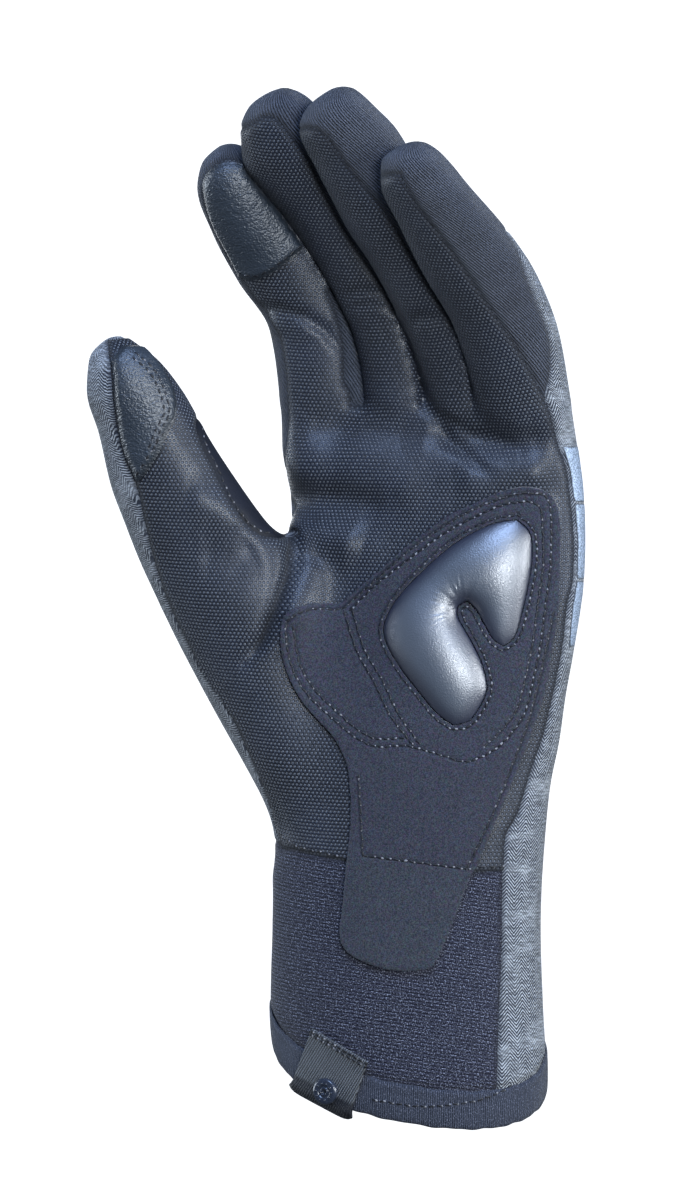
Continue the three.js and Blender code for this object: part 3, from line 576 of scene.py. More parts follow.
def outer_surface(points, faces):
    """The outside of closed forms, meshed evenly and smoothed: its points, faces and edges."""
    form = placed(mesh_of("glove_form", points, faces))
    applied(form, "REMESH", mode="VOXEL", voxel_size=VOXEL * MM)
    mesh = form.data
    p = array_of(mesh.vertices, "co", 3) / MM
    edges = array_of(mesh.edges, "vertices", 2, np.int32)
    mesh.calc_loop_triangles()
    faces = array_of(mesh.loop_triangles, "vertices", 3, np.int32)
    bpy.data.objects.remove(form)
    bpy.data.meshes.remove(mesh)
    return smoothed(p, edges), faces, edges


class Skin:
    """The glove's outer surface: where it lies unfolded (base) and folded (points), and the fields that its
    panels are cut by."""

    # How wide and deep the webs between the forms are, and how often they are evened out.
    WEB_GAP, WEB_DEPTH, WEB_ROUNDS = 3.0, 4.0, 40
    # The same for the thumb's root, and the least weight that still counts.
    ROOT_REACH, ROOT_LEAST, ROOT_ROUNDS = 8, 0.03, 500
    # The height of the unevenness all over, and its waves in each millimetre.
    UNEVEN, WAVES = 0.2, 0.045

    def __init__(self):
        self.base, self.faces = self.shell()
        self.near = np.argmin([outside_form(name, self.base) for name in FORM_NAMES], axis=0)
        self.base = closed_slits(self.base, self.near)
        self.points = self.folded()
        self.normals = normals_of(self.points, self.faces)
        self.fields = {}
        names = ["hem", *COVERS, *(f + "_knit" for f in FINGERS), "thumb_back", "heel", "pad", *REFLECTORS]
        for name in names:
            self.fields[name] = self.field(name, self.base, self.near)
        seams = [n for n in names if n not in ("hem", "heel", "pad", *REFLECTORS)]
        self.main = self.sharper(self.cut(self.faces, "hem")[0], seams, 1.6)

    def shell(self):
        """The hand, thumb and fingers as one even surface, rounded where they meet."""
        points, faces, start = [], [], 0
        for name in FORM_NAMES:
            ring = rings(name)
            count, sides = ring.shape[:2]
            r, s = np.meshgrid(np.arange(count - 1), np.arange(sides), indexing="ij")
            a, b = r * sides + s, r * sides + (s + 1) % sides
            faces.append(np.stack([a, b, b + sides], axis=2).reshape(-1, 3) + start)
            faces.append(np.stack([a, b + sides, a + sides], axis=2).reshape(-1, 3) + start)
            caps = count * sides + start
            turn = np.arange(sides)
            faces.append(np.stack([0 * turn + caps, (turn + 1) % sides + start, turn + start], axis=1))
            last = (count - 1) * sides + start
            faces.append(np.stack([0 * turn + caps + 1, turn + last, (turn + 1) % sides + last], axis=1))
            points += [ring.reshape(-1, 3), ring[0].mean(axis=0)[None], ring[-1].mean(axis=0)[None]]
            start += count * sides + 2
        p, faces, edges = outer_surface(np.concatenate(points), np.concatenate(faces))
        # The webs between the forms are rounded more than the rest.
        gaps = np.sort([outside_form(name, p) for name in FORM_NAMES], axis=0)
        web = hill(gaps[1] - gaps[0], self.WEB_GAP) * (p[:, 2] < CROTCH + 4) * hill(gaps[1], self.WEB_DEPTH)
        for _ in range(self.WEB_ROUNDS):
            p += 0.5 * web[:, None] * (neighbour_mean(p, edges) - p)
        root = np.abs([outside_form(name, p) for name in ("hand", "thumb")]).sum(axis=0)
        root = hill(root, self.ROOT_REACH)
        used, kept = np.unique(edges[(root[edges] > self.ROOT_LEAST).any(axis=1)], return_inverse=True)
        kept, part, share = kept.reshape(-1, 2), p[used], root[used, None]
        share = 0.5 * share * (share > self.ROOT_LEAST)
        for _ in range(self.ROOT_ROUNDS):
            part += share * (neighbour_mean(part, kept) - part)
        p[used] = part
        return outer_surface(p, faces)[:2]

    def folded(self):
        """The surface with its folds: hollows and ridges along drawn lines, and slightly uneven all over."""
        p, normals = self.base, normals_of(self.base, self.faces)
        x, z = p[:, 0], p[:, 2]
        rise = np.zeros(len(p))
        for height, width, line in FOLDS:
            distance, along = to_line(line, x, z)
            fade = np.clip(4 * np.minimum(along + 0.08, 1.08 - along), 0, 1)
            rise += height * hill(distance, width) * fade * (normals[:, 1] < 0)
        rise *= np.clip(-normals[:, 1] * 2, 0, 1)
        rise += self.UNEVEN * np.array([noise.noise(Vector(place)) for place in (p * self.WAVES).tolist()])
        return p + normals * rise[:, None]

    def field(self, name, p, near):
        """The value of a panel's field at points: positive in the panel."""
        x, y, z = p.T
        if name == "hem":
            return z - HEM_X * x - HEM_Y * y
        if name == "heel":
            return np.minimum(inside(HEEL, x, z), front_of("hand", p, 4))
        if name == "pad":
            return inside(PAD, x, z, 12.0)
        if name == "thumb_back":
            return inside(THUMB_BACK, x, z)
        if name in REFLECTORS:
            bottom, top = REFLECTORS[name]
            edge = np.interp(z, [e[1] for e in REFLECTOR_EDGE], [e[0] for e in REFLECTOR_EDGE])
            lean = 0.25 * (x - edge)
            level = np.minimum(z - bottom - (lean if name == "reflector_lower" else 0), top - z)
            return np.minimum(np.minimum(level, x - edge), REFLECTOR_FRONT - y)
        value = np.full(len(p), -REACH)
        if name in COVERS:
            for form, (outline, shift) in COVERS[name].items():
                own = near == FORM_NAMES.index(form)
                if own.any():
                    shape = inside(outline, x[own], z[own])
                    if name == "palm" and form in FINGERS:
                        palm = np.minimum(inside(PALM, x[own], z[own]), PALM_TOP - z[own])
                        shape = np.maximum(shape, palm)
                    value[own] = np.minimum(shape, front_of(form, p[own], shift))
            return value
        finger = name.removesuffix("_knit")
        own = near == FORM_NAMES.index(finger)
        grey = np.minimum(BACK_TOPS[finger] - z[own], -front_of(finger, p[own], BACK_SHIFT))
        if finger == "pinky":
            grey = np.maximum(grey, inside(PINKY_BACK, x[own], z[own]))
        value[own] = np.minimum(z[own] - KNIT_FOOT, -grey)
        if finger == "index":
            # The knit runs on in a strip down the hand's edge to the thumb.
            strip = np.minimum(z - STRIP_FOOT, STRIP_EDGE - x)
            strip = np.minimum(strip, front_of("hand", p, BACK_SHIFT))
            value[own] = np.maximum(value[own], strip[own])
            hand = near == FORM_NAMES.index("hand")
            value[hand] = strip[hand]
        return value

    def grow(self, first, second, share):
        """Adds points between pairs of points, and returns their numbers."""
        start = len(self.points)
        share = share[:, None]
        for part in ("base", "points", "normals"):
            values = getattr(self, part)
            added = values[first] * (1 - share) + values[second] * share
            setattr(self, part, np.concatenate([values, added]))
        self.near = np.concatenate([self.near, self.near[first]])
        for name, values in self.fields.items():
            added = values[first] * (1 - share[:, 0]) + values[second] * share[:, 0]
            self.fields[name] = np.concatenate([values, added])
        return np.arange(start, len(self.points))

    def finer(self, faces, *names):
        """Each triangle as four, with the named fields worked out afresh at the new points."""
        edges, where = np.unique(np.sort(sides_of(faces), axis=1), axis=0, return_inverse=True)
        made = self.grow(edges[:, 0], edges[:, 1], np.full(len(edges), 0.5))
        for name in names:
            self.fields[name][made] = self.field(name, self.base[made], self.near[made])
        ab, bc, ca = made[where.ravel()].reshape(3, -1)
        return np.concatenate(in_four(*faces.T, ab, bc, ca))

    def sharper(self, faces, names, reach):
        """Splits the triangles near the panels' edges, and those beside them to match."""
        close = np.min([np.abs(self.fields[name]) for name in names], axis=0) < reach
        chosen = close[faces].all(axis=1)
        sides = [np.sort(faces[:, [k, (k + 1) % 3]], axis=1) for k in range(3)]
        size = len(self.points)
        keys = [side[:, 0] * size + side[:, 1] for side in sides]
        split = np.unique(np.concatenate([key[chosen] for key in keys]))
        made = self.grow(split // size, split % size, np.full(len(split), 0.5))
        for name in names:
            self.fields[name][made] = self.field(name, self.base[made], self.near[made])
        found = [np.searchsorted(split, key).clip(max=len(split) - 1) for key in keys]
        halves = [np.where(split[at] == key, made[at], -1) for at, key in zip(found, keys)]
        count = sum((half >= 0).astype(int) for half in halves)
        out = [faces[count == 0]]
        whole = count == 3
        out += in_four(*faces[whole].T, *(half[whole] for half in halves))
        for k in range(3):
            a, b, c = (faces[:, (k + j) % 3] for j in range(3))
            ab, bc, ca = (halves[(k + j) % 3] for j in range(3))
            one = (count == 1) & (ab >= 0)
            out += [np.stack([a[one], ab[one], c[one]], axis=1), np.stack([ab[one], b[one], c[one]], axis=1)]
            two = (count == 2) & (ca < 0)
            out += [np.stack([a[two], ab[two], c[two]], axis=1), np.stack([ab[two], b[two], bc[two]], axis=1),
                    np.stack([ab[two], bc[two], c[two]], axis=1)]
        return np.concatenate(out)

    def cut(self, faces, name, level=0.0, snap=0.1):
        """Cuts triangles where a field crosses a level, and returns those above it and those below. Points
        within snap of the level are taken as on it, so that no slivers are left."""
        used = np.unique(faces)
        value = self.fields[name] - level
        value[used[np.abs(value[used]) < snap]] = 0
        sign = np.sign(value)[faces]
        low, high = sign.min(axis=1), sign.max(axis=1)
        crossing = (low < 0) & (high > 0)
        above, below = [faces[~crossing & (high > 0)]], [faces[~crossing & (high <= 0)]]
        mixed = faces[crossing]
        pairs = np.sort(sides_of(mixed), axis=1)
        pairs = np.unique(pairs[value[pairs[:, 0]] * value[pairs[:, 1]] < 0], axis=0)
        first, second = value[pairs[:, 0]], value[pairs[:, 1]]
        made = self.grow(pairs[:, 0], pairs[:, 1], first / (first - second))
        self.fields[name][made] = level
        at = {(a, b): m for (a, b), m in zip(pairs.tolist(), made.tolist())}
        parts = [], []
        for face in mixed.tolist():
            sides = [], []
            for k in range(3):
                i, j = face[k], face[(k + 1) % 3]
                if value[i] >= 0:
                    sides[0].append(i)
                if value[i] <= 0:
                    sides[1].append(i)
                if value[i] * value[j] < 0:
                    new = at[(min(i, j), max(i, j))]
                    sides[0].append(new)
                    sides[1].append(new)
            for side, part in zip(sides, parts):
                part += [(side[0], side[k], side[k + 1]) for k in range(1, len(side) - 1)]
        for kept, part in zip((above, below), parts):
            kept.append(np.array(part, np.int64).reshape(-1, 3))
        return np.concatenate(above), np.concatenate(below)

    def about(self, name):
        """The triangles in a panel's field and just outside it."""
        return self.main[(self.fields[name][self.main] > -2).any(axis=1)]


STORE = {}


def skin():
    """The glove's skin and the faces of each panel, made once."""
    if "skin" not in STORE:
        made = Skin()
        panels, rest = {}, made.main
        for panel in ("palm", "gusset", "thumb", "cuff", *(f + "_knit" for f in FINGERS)):
            panels[panel], rest = made.cut(rest, panel)
        panels["thumb_back"], panels["back"] = made.cut(rest, "thumb_back")
        STORE["skin"], STORE["panels"] = made, tidy(panels)
    return STORE["skin"], STORE["panels"]


def parts_of(faces):
    """The number of the connected part that each triangle belongs to."""
    label = np.arange(int(faces.max()) + 1)
    while True:
        low = label[faces].min(axis=1)
        new = label.copy()
        for k in range(3):
            np.minimum.at(new, faces[:, k], low)
        new = new[new]
        if (new == label).all():
            return label[faces[:, 0]]
        label = new


def tidy(panels, least=150):
    """Gives the small islands of each panel to the panel that they share the most edges with."""
    names = list(panels)
    faces = np.concatenate([panels[name] for name in names])
    owner = np.repeat(np.arange(len(names)), [len(panels[name]) for name in names])
    for _ in range(3):
        island = np.zeros(len(faces), np.int64)
        for k in range(len(names)):
            own = owner == k
            island[own] = parts_of(faces[own]) * len(names) + k
        _, island, count = np.unique(island, return_inverse=True, return_counts=True)
        edges = np.sort(sides_of(faces), axis=1)
        order = np.lexsort((edges[:, 1], edges[:, 0]))
        same = (edges[order][1:] == edges[order][:-1]).all(axis=1)
        one, two = order[:-1][same] % len(faces), order[1:][same] % len(faces)
        for first, second in ((one, two), (two, one)):
            small = (count[island[first]] < least) & (owner[first] != owner[second])
            votes = np.zeros((len(count), len(names)), np.int32)
            np.add.at(votes, (island[first[small]], owner[second[small]]), 1)
            moved = (votes.sum(axis=1) > 0)[island]
            owner = np.where(moved, votes.argmax(axis=1)[island], owner)
    return {name: faces[owner == k] for k, name in enumerate(names)}


def boundary(faces):
    """The edges that only one triangle uses, in the triangle's own direction."""
    edges = sides_of(faces)
    _, where, count = np.unique(np.sort(edges, axis=1), axis=0, return_inverse=True, return_counts=True)
    return edges[count[where.ravel()] == 1]


def shell_piece(node, faces, inner, shape, uv, materials):
    """A closed piece over some of the skin's triangles. shape gives the lift of its outer side from the
    distance to its edge, inner the lift of its inner side, and uv its flat coordinates."""
    made, _ = skin()
    used, local = np.unique(faces, return_inverse=True)
    local = local.reshape(-1, 3)
    rim = boundary(local)
    points, normals = made.points[used], made.normals[used]
    tree = KDTree(len(rim))
    for i, place in enumerate(points[rim[:, 0]]):
        tree.insert(place, i)
    tree.balance()
    seam = np.array([tree.find(place)[2] for place in points])
    if node in ("palm_panel", "thumb_panel"):
        # The leather of thumb and palm runs on without a seam where the crease between them ends.
        far = np.hypot(points[:, 0] - CREASE_END[0], points[:, 2] - CREASE_END[1])
        seam = seam + 4 * np.clip((11 - far) / 6, 0, 1)
    lift = shape(seam, used)
    outer = points + normals * lift[:, None]
    under = points + normals * np.broadcast_to(inner, lift.shape)[:, None]
    count = len(used)
    side = np.concatenate([
        np.stack([rim[:, 0], rim[:, 0] + count, rim[:, 1]], axis=1),
        np.stack([rim[:, 1], rim[:, 0] + count, rim[:, 1] + count], axis=1),
    ])
    faces = np.concatenate([local, side, local[:, ::-1] + count])
    mesh = mesh_of("sewn_" + node, np.concatenate([outer, under]), faces)
    piece = placed(mesh)
    add_values(mesh, "seam", np.concatenate([seam, seam]) * MM)
    for material in materials:
        mesh.materials.append(material)
    if len(materials) > 1:
        index = np.zeros(len(mesh.polygons), np.int32)
        index[len(local) + len(side):] = 1
        mesh.polygons.foreach_set("material_index", index)
    flat = uv(used, local)
    add_uv(mesh, np.concatenate([flat, flat]))
    finish(piece, [node])
    STORE[node] = piece
    return piece


def add_values(mesh, name, values):
    """Keeps a value for each point of a mesh."""
    mesh.attributes.new(name, "FLOAT", "POINT").data.foreach_set("value", values.astype(np.float32))


def add_uv(mesh, flat):
    """A UV map from flat coordinates of the points, in millimetres, kept in metres."""
    corners = array_of(mesh.loops, "vertex_index", 1, np.int32)
    layer = mesh.uv_layers.new(name="UVMap")
    layer.uv.foreach_set("vector", (flat[corners] * MM).astype(np.float32).ravel())


def finish(piece, nodes=(), angle=48):
    """Shades a piece smoothly, hangs it on the root, and hides the parts that it stands for."""
    active(piece)
    bpy.ops.object.shade_smooth_by_angle(angle=math.radians(angle), keep_sharp_edges=True)
    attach(piece, "root")
    if nodes:
        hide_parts(*nodes)
    piece.select_set(False)


def planar(used, local):
    """Coordinates as seen from the palm side."""
    made, _ = skin()
    return made.base[used][:, [0, 2]]


def unrolled(centre, slope=0.0):
    """Coordinates round the hand, from an angle on it, and up it, with rows that slope down."""
    angle = np.linspace(-2 * math.pi, 2 * math.pi, 801)
    power, (half_width, half_depth) = POWER["hand"], (38, 18.5)
    x, y = rounded(angle, power)
    arc = lengths(np.column_stack([half_width * x, half_depth * y]))

    def flat(used, local):
        made, _ = skin()
        p = made.base[used]
        # Above 168 the hand's own sections close over its top, so the one there is used.
        across, deep, _ = in_section("hand", p[:, 0], p[:, 1], np.minimum(p[:, 2], 168))
        sin, cos = (np.sign(side) * np.abs(side) ** (power / 2) for side in (deep, across))
        turn = np.arctan2(sin, cos)
        turn = (turn - centre + math.pi) % (2 * math.pi) - math.pi + centre
        round_it = np.interp(turn, angle, arc) - np.interp(centre, angle, arc)
        return np.stack([round_it, p[:, 2] + slope * round_it], axis=1)

    return flat


def spine(form):
    """The middle of a form's dense sections, as z, x and y, and how far along it each lies."""
    rows = ROWS[form]
    middle = np.column_stack([rows[:, 0], (rows[:, 1] + rows[:, 2]) / 2, (rows[:, 3] + rows[:, 4]) / 2])
    return middle, lengths(middle)


def over_the_back(used, local, below=14, reach=20):
    """Coordinates round the hand and up it, which from below the knit's foot, over a reach, turn into those
    round each finger and up it."""
    made, _ = skin()
    hand = unrolled(math.pi / 2)
    flat = hand(used, local)
    p, near = made.base[used], made.near[used]
    left, right = section("hand", np.array([KNIT_FOOT]))[:2]
    for form in FINGERS:
        rows, (middle, along) = ROWS[form], spine(form)
        own = (near == FORM_NAMES.index(form)) & (p[:, 2] > KNIT_FOOT - below)
        across, deep, _ = in_section(form, *p[own].T)
        turn = (np.arctan2(deep, across) + math.pi / 2) % (2 * math.pi) - math.pi
        foot = np.interp(KNIT_FOOT, rows[:, 0], middle[:, 1])
        radius = np.interp(p[own, 2], rows[:, 0], (rows[:, 2] - rows[:, 1]) / 2)
        u = (left[0] + right[0]) / 2 - foot + turn * radius
        v = KNIT_FOOT + np.interp(p[own, 2], rows[:, 0], along) - np.interp(KNIT_FOOT, rows[:, 0], along)
        share = np.clip((p[own, 2] - KNIT_FOOT + below) / reach, 0, 1)[:, None]
        flat[own] += share * (np.stack([u, v], axis=1) - flat[own])
    return flat


def round_form(form, lean=0.0):
    """Coordinates round a form and along it, turned so that rows lean away from the form's own direction."""
    rows, (_, along) = ROWS[form], spine(form)
    radius = (rows[:, 5] + rows[:, 2] - rows[:, 1]) / 3
    # Towards the tip, the radius stays what it is this far below it.
    below = 9

    def flat(used, local):
        made, _ = skin()
        p = made.base[used]
        across, deep, _ = in_section(form, *p.T)
        height = np.clip(p[:, 2], None, rows[-1, 0] - below)
        u = np.arctan2(across, -deep) * np.interp(height, rows[:, 0], radius)
        v = np.interp(p[:, 2], rows[:, 0], along)
        sin, cos = math.sin(math.radians(lean)), math.cos(math.radians(lean))
        return np.stack([u * sin - v * cos, u * cos + v * sin], axis=1)

    return flat


def even_map(spot, tri, rounds=60):
    """Flat places for a light mesh's points that keep every triangle as near its real shape as they can. Each
    round turns the real triangles the way that the flat ones lie, and finds the places that fit them best."""
    corner = [spot[tri[:, k]] for k in range(3)]
    one, two = corner[1] - corner[0], corner[2] - corner[0]
    long = np.maximum(np.linalg.norm(one, axis=1), 1e-6)
    foot = (one * two).sum(axis=1) / long
    high = np.maximum(np.linalg.norm(np.cross(one, two), axis=1) / long, 1e-6)
    # Each triangle on its own, laid flat and facing the same way as the plain view from the front.
    own = np.zeros((len(tri), 3, 2))
    own[:, 1, 0], own[:, 2, 0], own[:, 2, 1] = long, foot, high
    # A weak pull to where they are keeps the places from drifting off.
    hold = 1e-5
    matrix = np.eye(len(spot)) * hold
    weights = np.empty((len(tri), 3))
    for k in range(3):
        i, j, o = tri[:, k], tri[:, (k + 1) % 3], (k + 2) % 3
        u, v = own[:, k] - own[:, o], own[:, (k + 1) % 3] - own[:, o]
        area = np.abs(u[:, 0] * v[:, 1] - u[:, 1] * v[:, 0])
        weights[:, k] = np.clip((u * v).sum(axis=1) / np.maximum(area, 1e-6), 0.05, 8)
        np.add.at(matrix, (i, i), weights[:, k])
        np.add.at(matrix, (j, j), weights[:, k])
        np.add.at(matrix, (i, j), -weights[:, k])
        np.add.at(matrix, (j, i), -weights[:, k])
    solve = np.linalg.inv(matrix)
    flat = spot[:, [0, 2]].copy()
    for _ in range(rounds):
        spread_of = np.zeros((len(tri), 2, 2))
        for k in range(3):
            way = flat[tri[:, (k + 1) % 3]] - flat[tri[:, k]]
            real = own[:, (k + 1) % 3] - own[:, k]
            spread_of += weights[:, k, None, None] * way[:, :, None] * real[:, None, :]
        cos = spread_of[:, 0, 0] + spread_of[:, 1, 1]
        sin = spread_of[:, 1, 0] - spread_of[:, 0, 1]
        size = np.maximum(np.hypot(cos, sin), 1e-9)
        cos, sin = cos / size, sin / size
        target = hold * flat
        for k in range(3):
            real = own[:, (k + 1) % 3] - own[:, k]
            u, v = real.T
            turned = np.stack([cos * u - sin * v, sin * u + cos * v], axis=1) * weights[:, k, None]
            np.add.at(target, tri[:, (k + 1) % 3], turned)
            np.add.at(target, tri[:, k], -turned)
        flat = solve @ target
    return flat


def laid_flat(used, local, light=2600, rounds=30):
    """Coordinates of a panel laid flat, as its pattern piece, upright and at its real scale. A light copy is
    laid flat, and the panel's points take their places from it."""
    made, _ = skin()
    p = made.base[used]
    flat = p[:, [0, 2]].copy()
    part = parts_of(local)
    body = local[part == np.bincount(part).argmax()]
    inner, faces = np.unique(body, return_inverse=True)
    piece = placed(mesh_of("pattern", p[inner], faces.reshape(-1, 3)))
    applied(piece, "DECIMATE", ratio=min(1, light / len(body)))
    mesh = piece.data
    spot = array_of(mesh.vertices, "co", 3) / MM
    mesh.calc_loop_triangles()
    tri = array_of(mesh.loop_triangles, "vertices", 3, np.int32)
    bpy.data.objects.remove(piece)
    bpy.data.meshes.remove(mesh)
    # Seen from the front, with x to the right and z up, the triangles run clockwise or not as one.
    mirrored = np.array([-1.0, 1.0, 1.0])
    a, b, c = (spot[tri[:, k]][:, [0, 2]] for k in range(3))
    turn = ((b - a)[:, 0] * (c - a)[:, 1] - (b - a)[:, 1] * (c - a)[:, 0]).sum()
    place = even_map(spot if turn > 0 else spot * mirrored, tri)
    if turn <= 0:
        place = place * mirrored[:2]

    tree = BVHTree.FromPolygons(spot.tolist(), tri.tolist())
    for i in inner:
        index = tree.find_nearest(p[i])[2]
        a, b, c = spot[tri[index]]
        ab, ac, to = b - a, c - a, p[i] - a
        d00, d01, d11, d20, d21 = ab @ ab, ab @ ac, ac @ ac, to @ ab, to @ ac
        whole = max(d00 * d11 - d01 * d01, 1e-9)
        v, w = (d11 * d20 - d01 * d21) / whole, (d00 * d21 - d01 * d20) / whole
        flat[i] = place[tri[index]].T @ (1 - v - w, v, w)
    # What the laying flat adds to the plain view is evened out, so that no facet of the light copy shows.
    added = flat - p[:, [0, 2]]
    edges = np.unique(np.sort(sides_of(local), axis=1), axis=0)
    for _ in range(rounds):
        added = added + 0.5 * (neighbour_mean(added, edges) - added)
    return p[:, [0, 2]] + added


def put(tree, kind, sockets=None, **settings):
    """Adds a node, sets it, and joins or fills its sockets."""
    made = tree.nodes.new("ShaderNode" + kind)
    for name, value in settings.items():
        setattr(made, name, value)
    for key, value in (sockets or {}).items():
        if isinstance(value, bpy.types.NodeSocket):
            tree.links.new(value, made.inputs[key])
        else:
            made.inputs[key].default_value = value
    return made


def calc(tree, operation, *values):
    """A sum of values or sockets."""
    return put(tree, "Math", dict(enumerate(values)), operation=operation).outputs[0]


def times(tree, one, two):
    return calc(tree, "MULTIPLY", one, two)


def vec(tree, operation, *values):
    """A sum of vectors or sockets."""
    made = put(tree, "VectorMath", dict(enumerate(values)), operation=operation)
    return made.outputs["Value" if operation in ("LENGTH", "DOT_PRODUCT", "DISTANCE") else "Vector"]


def spread(tree, value, low, high, start=0.0, end=1.0):
    """A value between two bounds eased to a new range."""
    sockets = {"Value": value, "From Min": low, "From Max": high, "To Min": start, "To Max": end}
    return put(tree, "MapRange", sockets, interpolation_type="SMOOTHSTEP").outputs[0]


def blend(tree, share, one, two):
    """One colour turning into another."""
    made = put(tree, "Mix", data_type="RGBA")
    for key, value in ((0, share), (6, one), (7, two)):
        if isinstance(value, bpy.types.NodeSocket):
            tree.links.new(value, made.inputs[key])
        elif key == 0:
            made.inputs[key].default_value = value
        else:
            made.inputs[key].default_value = (*value[:3], 1)
    return made.outputs[2]


def rough_noise(tree, vector, scale, detail=2.0, roughness=0.5):
    """Even noise, about 0.5."""
    sockets = {"Vector": vector, "Scale": scale, "Detail": detail, "Roughness": roughness}
    return put(tree, "TexNoise", sockets).outputs["Fac"]


def use(tree, kind, **sockets):
    """Places a group, with its sockets named without spaces."""
    node = tree.nodes.new("ShaderNodeGroup")
    node.node_tree = shader_group(kind)
    for key, value in sockets.items():
        socket = node.inputs[key.replace("_", " ").capitalize()]
        if isinstance(value, bpy.types.NodeSocket):
            tree.links.new(value, socket)
        else:
            socket.default_value = value
    return node.outputs


def honeycomb(tree, given):
    """A raised net round small pits in staggered rows."""
    tall = math.sqrt(3)
    sides = {0: given["Pitch"], 1: times(tree, given["Pitch"], tall), 2: 1.0}
    at = vec(tree, "DIVIDE", given["Place"], put(tree, "CombineXYZ", sides).outputs[0])
    ways = []
    for shift in (0.0, 0.5):
        cell = vec(tree, "FRACTION", vec(tree, "ADD", at, (shift, shift, 0)))
        cell = vec(tree, "MULTIPLY", vec(tree, "SUBTRACT", cell, (0.5, 0.5, 0)), (1, tall, 0))
        ways.append(vec(tree, "LENGTH", cell))
    distance = calc(tree, "MINIMUM", *ways)
    return {
        "Height": spread(tree, distance, 0.16, 0.44),
        "Pit": spread(tree, distance, 0.28, 0.42, 1, 0),
        "Dot": spread(tree, distance, 0.15, 0.28, 1, 0),
    }


def shaken(tree, place, scale, detail, reach):
    """A place's x and y, moved a little this way and that."""
    wobble = put(tree, "TexNoise", {"Vector": place, "Scale": scale, "Detail": detail}).outputs["Color"]
    wobble = vec(tree, "MULTIPLY", vec(tree, "SUBTRACT", wobble, (0.5, 0.5, 0.5)), reach)
    return put(tree, "SeparateXYZ", {0: vec(tree, "ADD", place, wobble)}).outputs[:2]


def courses(tree, given):
    """Rows of knitted loops."""
    x, y = shaken(tree, given["Place"], 700.0, 1.0, (0.00035, 0.00028, 0))
    row = calc(tree, "DIVIDE", y, given["Pitch"])
    level = calc(tree, "FLOOR", row)
    ridge = calc(tree, "SINE", times(tree, calc(tree, "FRACT", row), math.pi))
    loop = calc(tree, "ADD", calc(tree, "DIVIDE", x, given["Loop"]), times(tree, level, 0.5))
    knot = calc(tree, "SINE", times(tree, calc(tree, "FRACT", loop), math.pi))
    height = times(tree, ridge, on_top(tree, 0.6, knot, 0.4))
    return {"Height": height, "Groove": spread(tree, height, 0.2, 0.75, 1, 0)}


def herringbone(tree, given):
    """Slanting threads that turn at each column."""
    x, y = shaken(tree, given["Place"], 500.0, 2.0, (0.00012, 0.00012, 0))
    zigzag = calc(tree, "PINGPONG", x, given["Column"])
    along = on_top(tree, y, zigzag, 1.1)
    turn = times(tree, calc(tree, "DIVIDE", along, given["Thread"]), 2 * math.pi)
    wave = calc(tree, "SINE", turn)
    return {"Thread": spread(tree, wave, -0.2, 0.5)}


def pebbles(tree, given):
    """The small uneven cells of grained leather."""
    scale = calc(tree, "DIVIDE", 1.0, given["Size"])
    sockets = {"Vector": given["Place"], "Scale": scale, "Smoothness": 0.35}
    cell = put(tree, "TexVoronoi", sockets, feature="SMOOTH_F1").outputs["Distance"]
    crease = rough_noise(tree, given["Place"], calc(tree, "DIVIDE", 2.2, given["Size"]), 3)
    dome = spread(tree, cell, 0.1, 0.75, 1, 0)
    return {"Height": on_top(tree, dome, crease, 0.4)}


def seam_shade(tree, given):
    """How near a place is to the piece's edge, from the attribute seam."""
    distance = put(tree, "Attribute", attribute_name="seam").outputs["Fac"]
    return {"Near": spread(tree, distance, 0.0, given["Width"], 1, 0)}


PLACE = ("Place", "Vector", None)
# What builds each group, its inputs as name, kind and value, and its outputs.
GROUPS = {
    "Honeycomb": (honeycomb, [PLACE, ("Pitch", "Float", 0.00112)], ["Height", "Pit", "Dot"]),
    "Courses": (courses, [PLACE, ("Pitch", "Float", 0.001), ("Loop", "Float", 0.0008)], ["Height", "Groove"]),
    "Herringbone": (
        herringbone, [PLACE, ("Column", "Float", 0.0025), ("Thread", "Float", 0.0009)], ["Thread"]),
    "Pebbles": (pebbles, [PLACE, ("Size", "Float", 0.0006)], ["Height"]),
    "Seam shade": (seam_shade, [("Width", "Float", 0.002)], ["Near"]),
}


def shader_group(kind):
    """A node group with named inputs and outputs, built once."""
    if kind in bpy.data.node_groups:
        return bpy.data.node_groups[kind]
    build, inputs, outputs = GROUPS[kind]
    tree = bpy.data.node_groups.new(kind, "ShaderNodeTree")
    for label, sort, value in inputs:
        socket = tree.interface.new_socket(label, in_out="INPUT", socket_type="NodeSocket" + sort)
        if value is not None:
            socket.default_value = value
    for label in outputs:
        tree.interface.new_socket(label, in_out="OUTPUT", socket_type="NodeSocketFloat")
    start, end = tree.nodes.new("NodeGroupInput"), tree.nodes.new("NodeGroupOutput")
    for label, value in build(tree, start.outputs).items():
        tree.links.new(value, end.inputs[label])
    return tree


def finish_base(name, **shader):
    """A new material with one Principled shader, and its tree."""
    material = bpy.data.materials.new(name)
    material.use_nodes = True
    tree = material.node_tree
    tree.nodes.clear()
    surface = tree.nodes.new("ShaderNodeBsdfPrincipled")
    surface.name = "surface"
    output = tree.nodes.new("ShaderNodeOutputMaterial")
    tree.links.new(surface.outputs[0], output.inputs["Surface"])
    for key, value in shader.items():
        surface.inputs[key.replace("_", " ")].default_value = value
    return material, tree


def coordinates(tree, kind="Object"):
    """A place on the object itself, or on its UV map."""
    return put(tree, "TexCoord").outputs[kind]


def feed(tree, **sockets):
    """Joins what is given to the shader's sockets, named without spaces."""
    for key, value in sockets.items():
        tree.links.new(value, tree.nodes["surface"].inputs[key.replace("_", " ")])


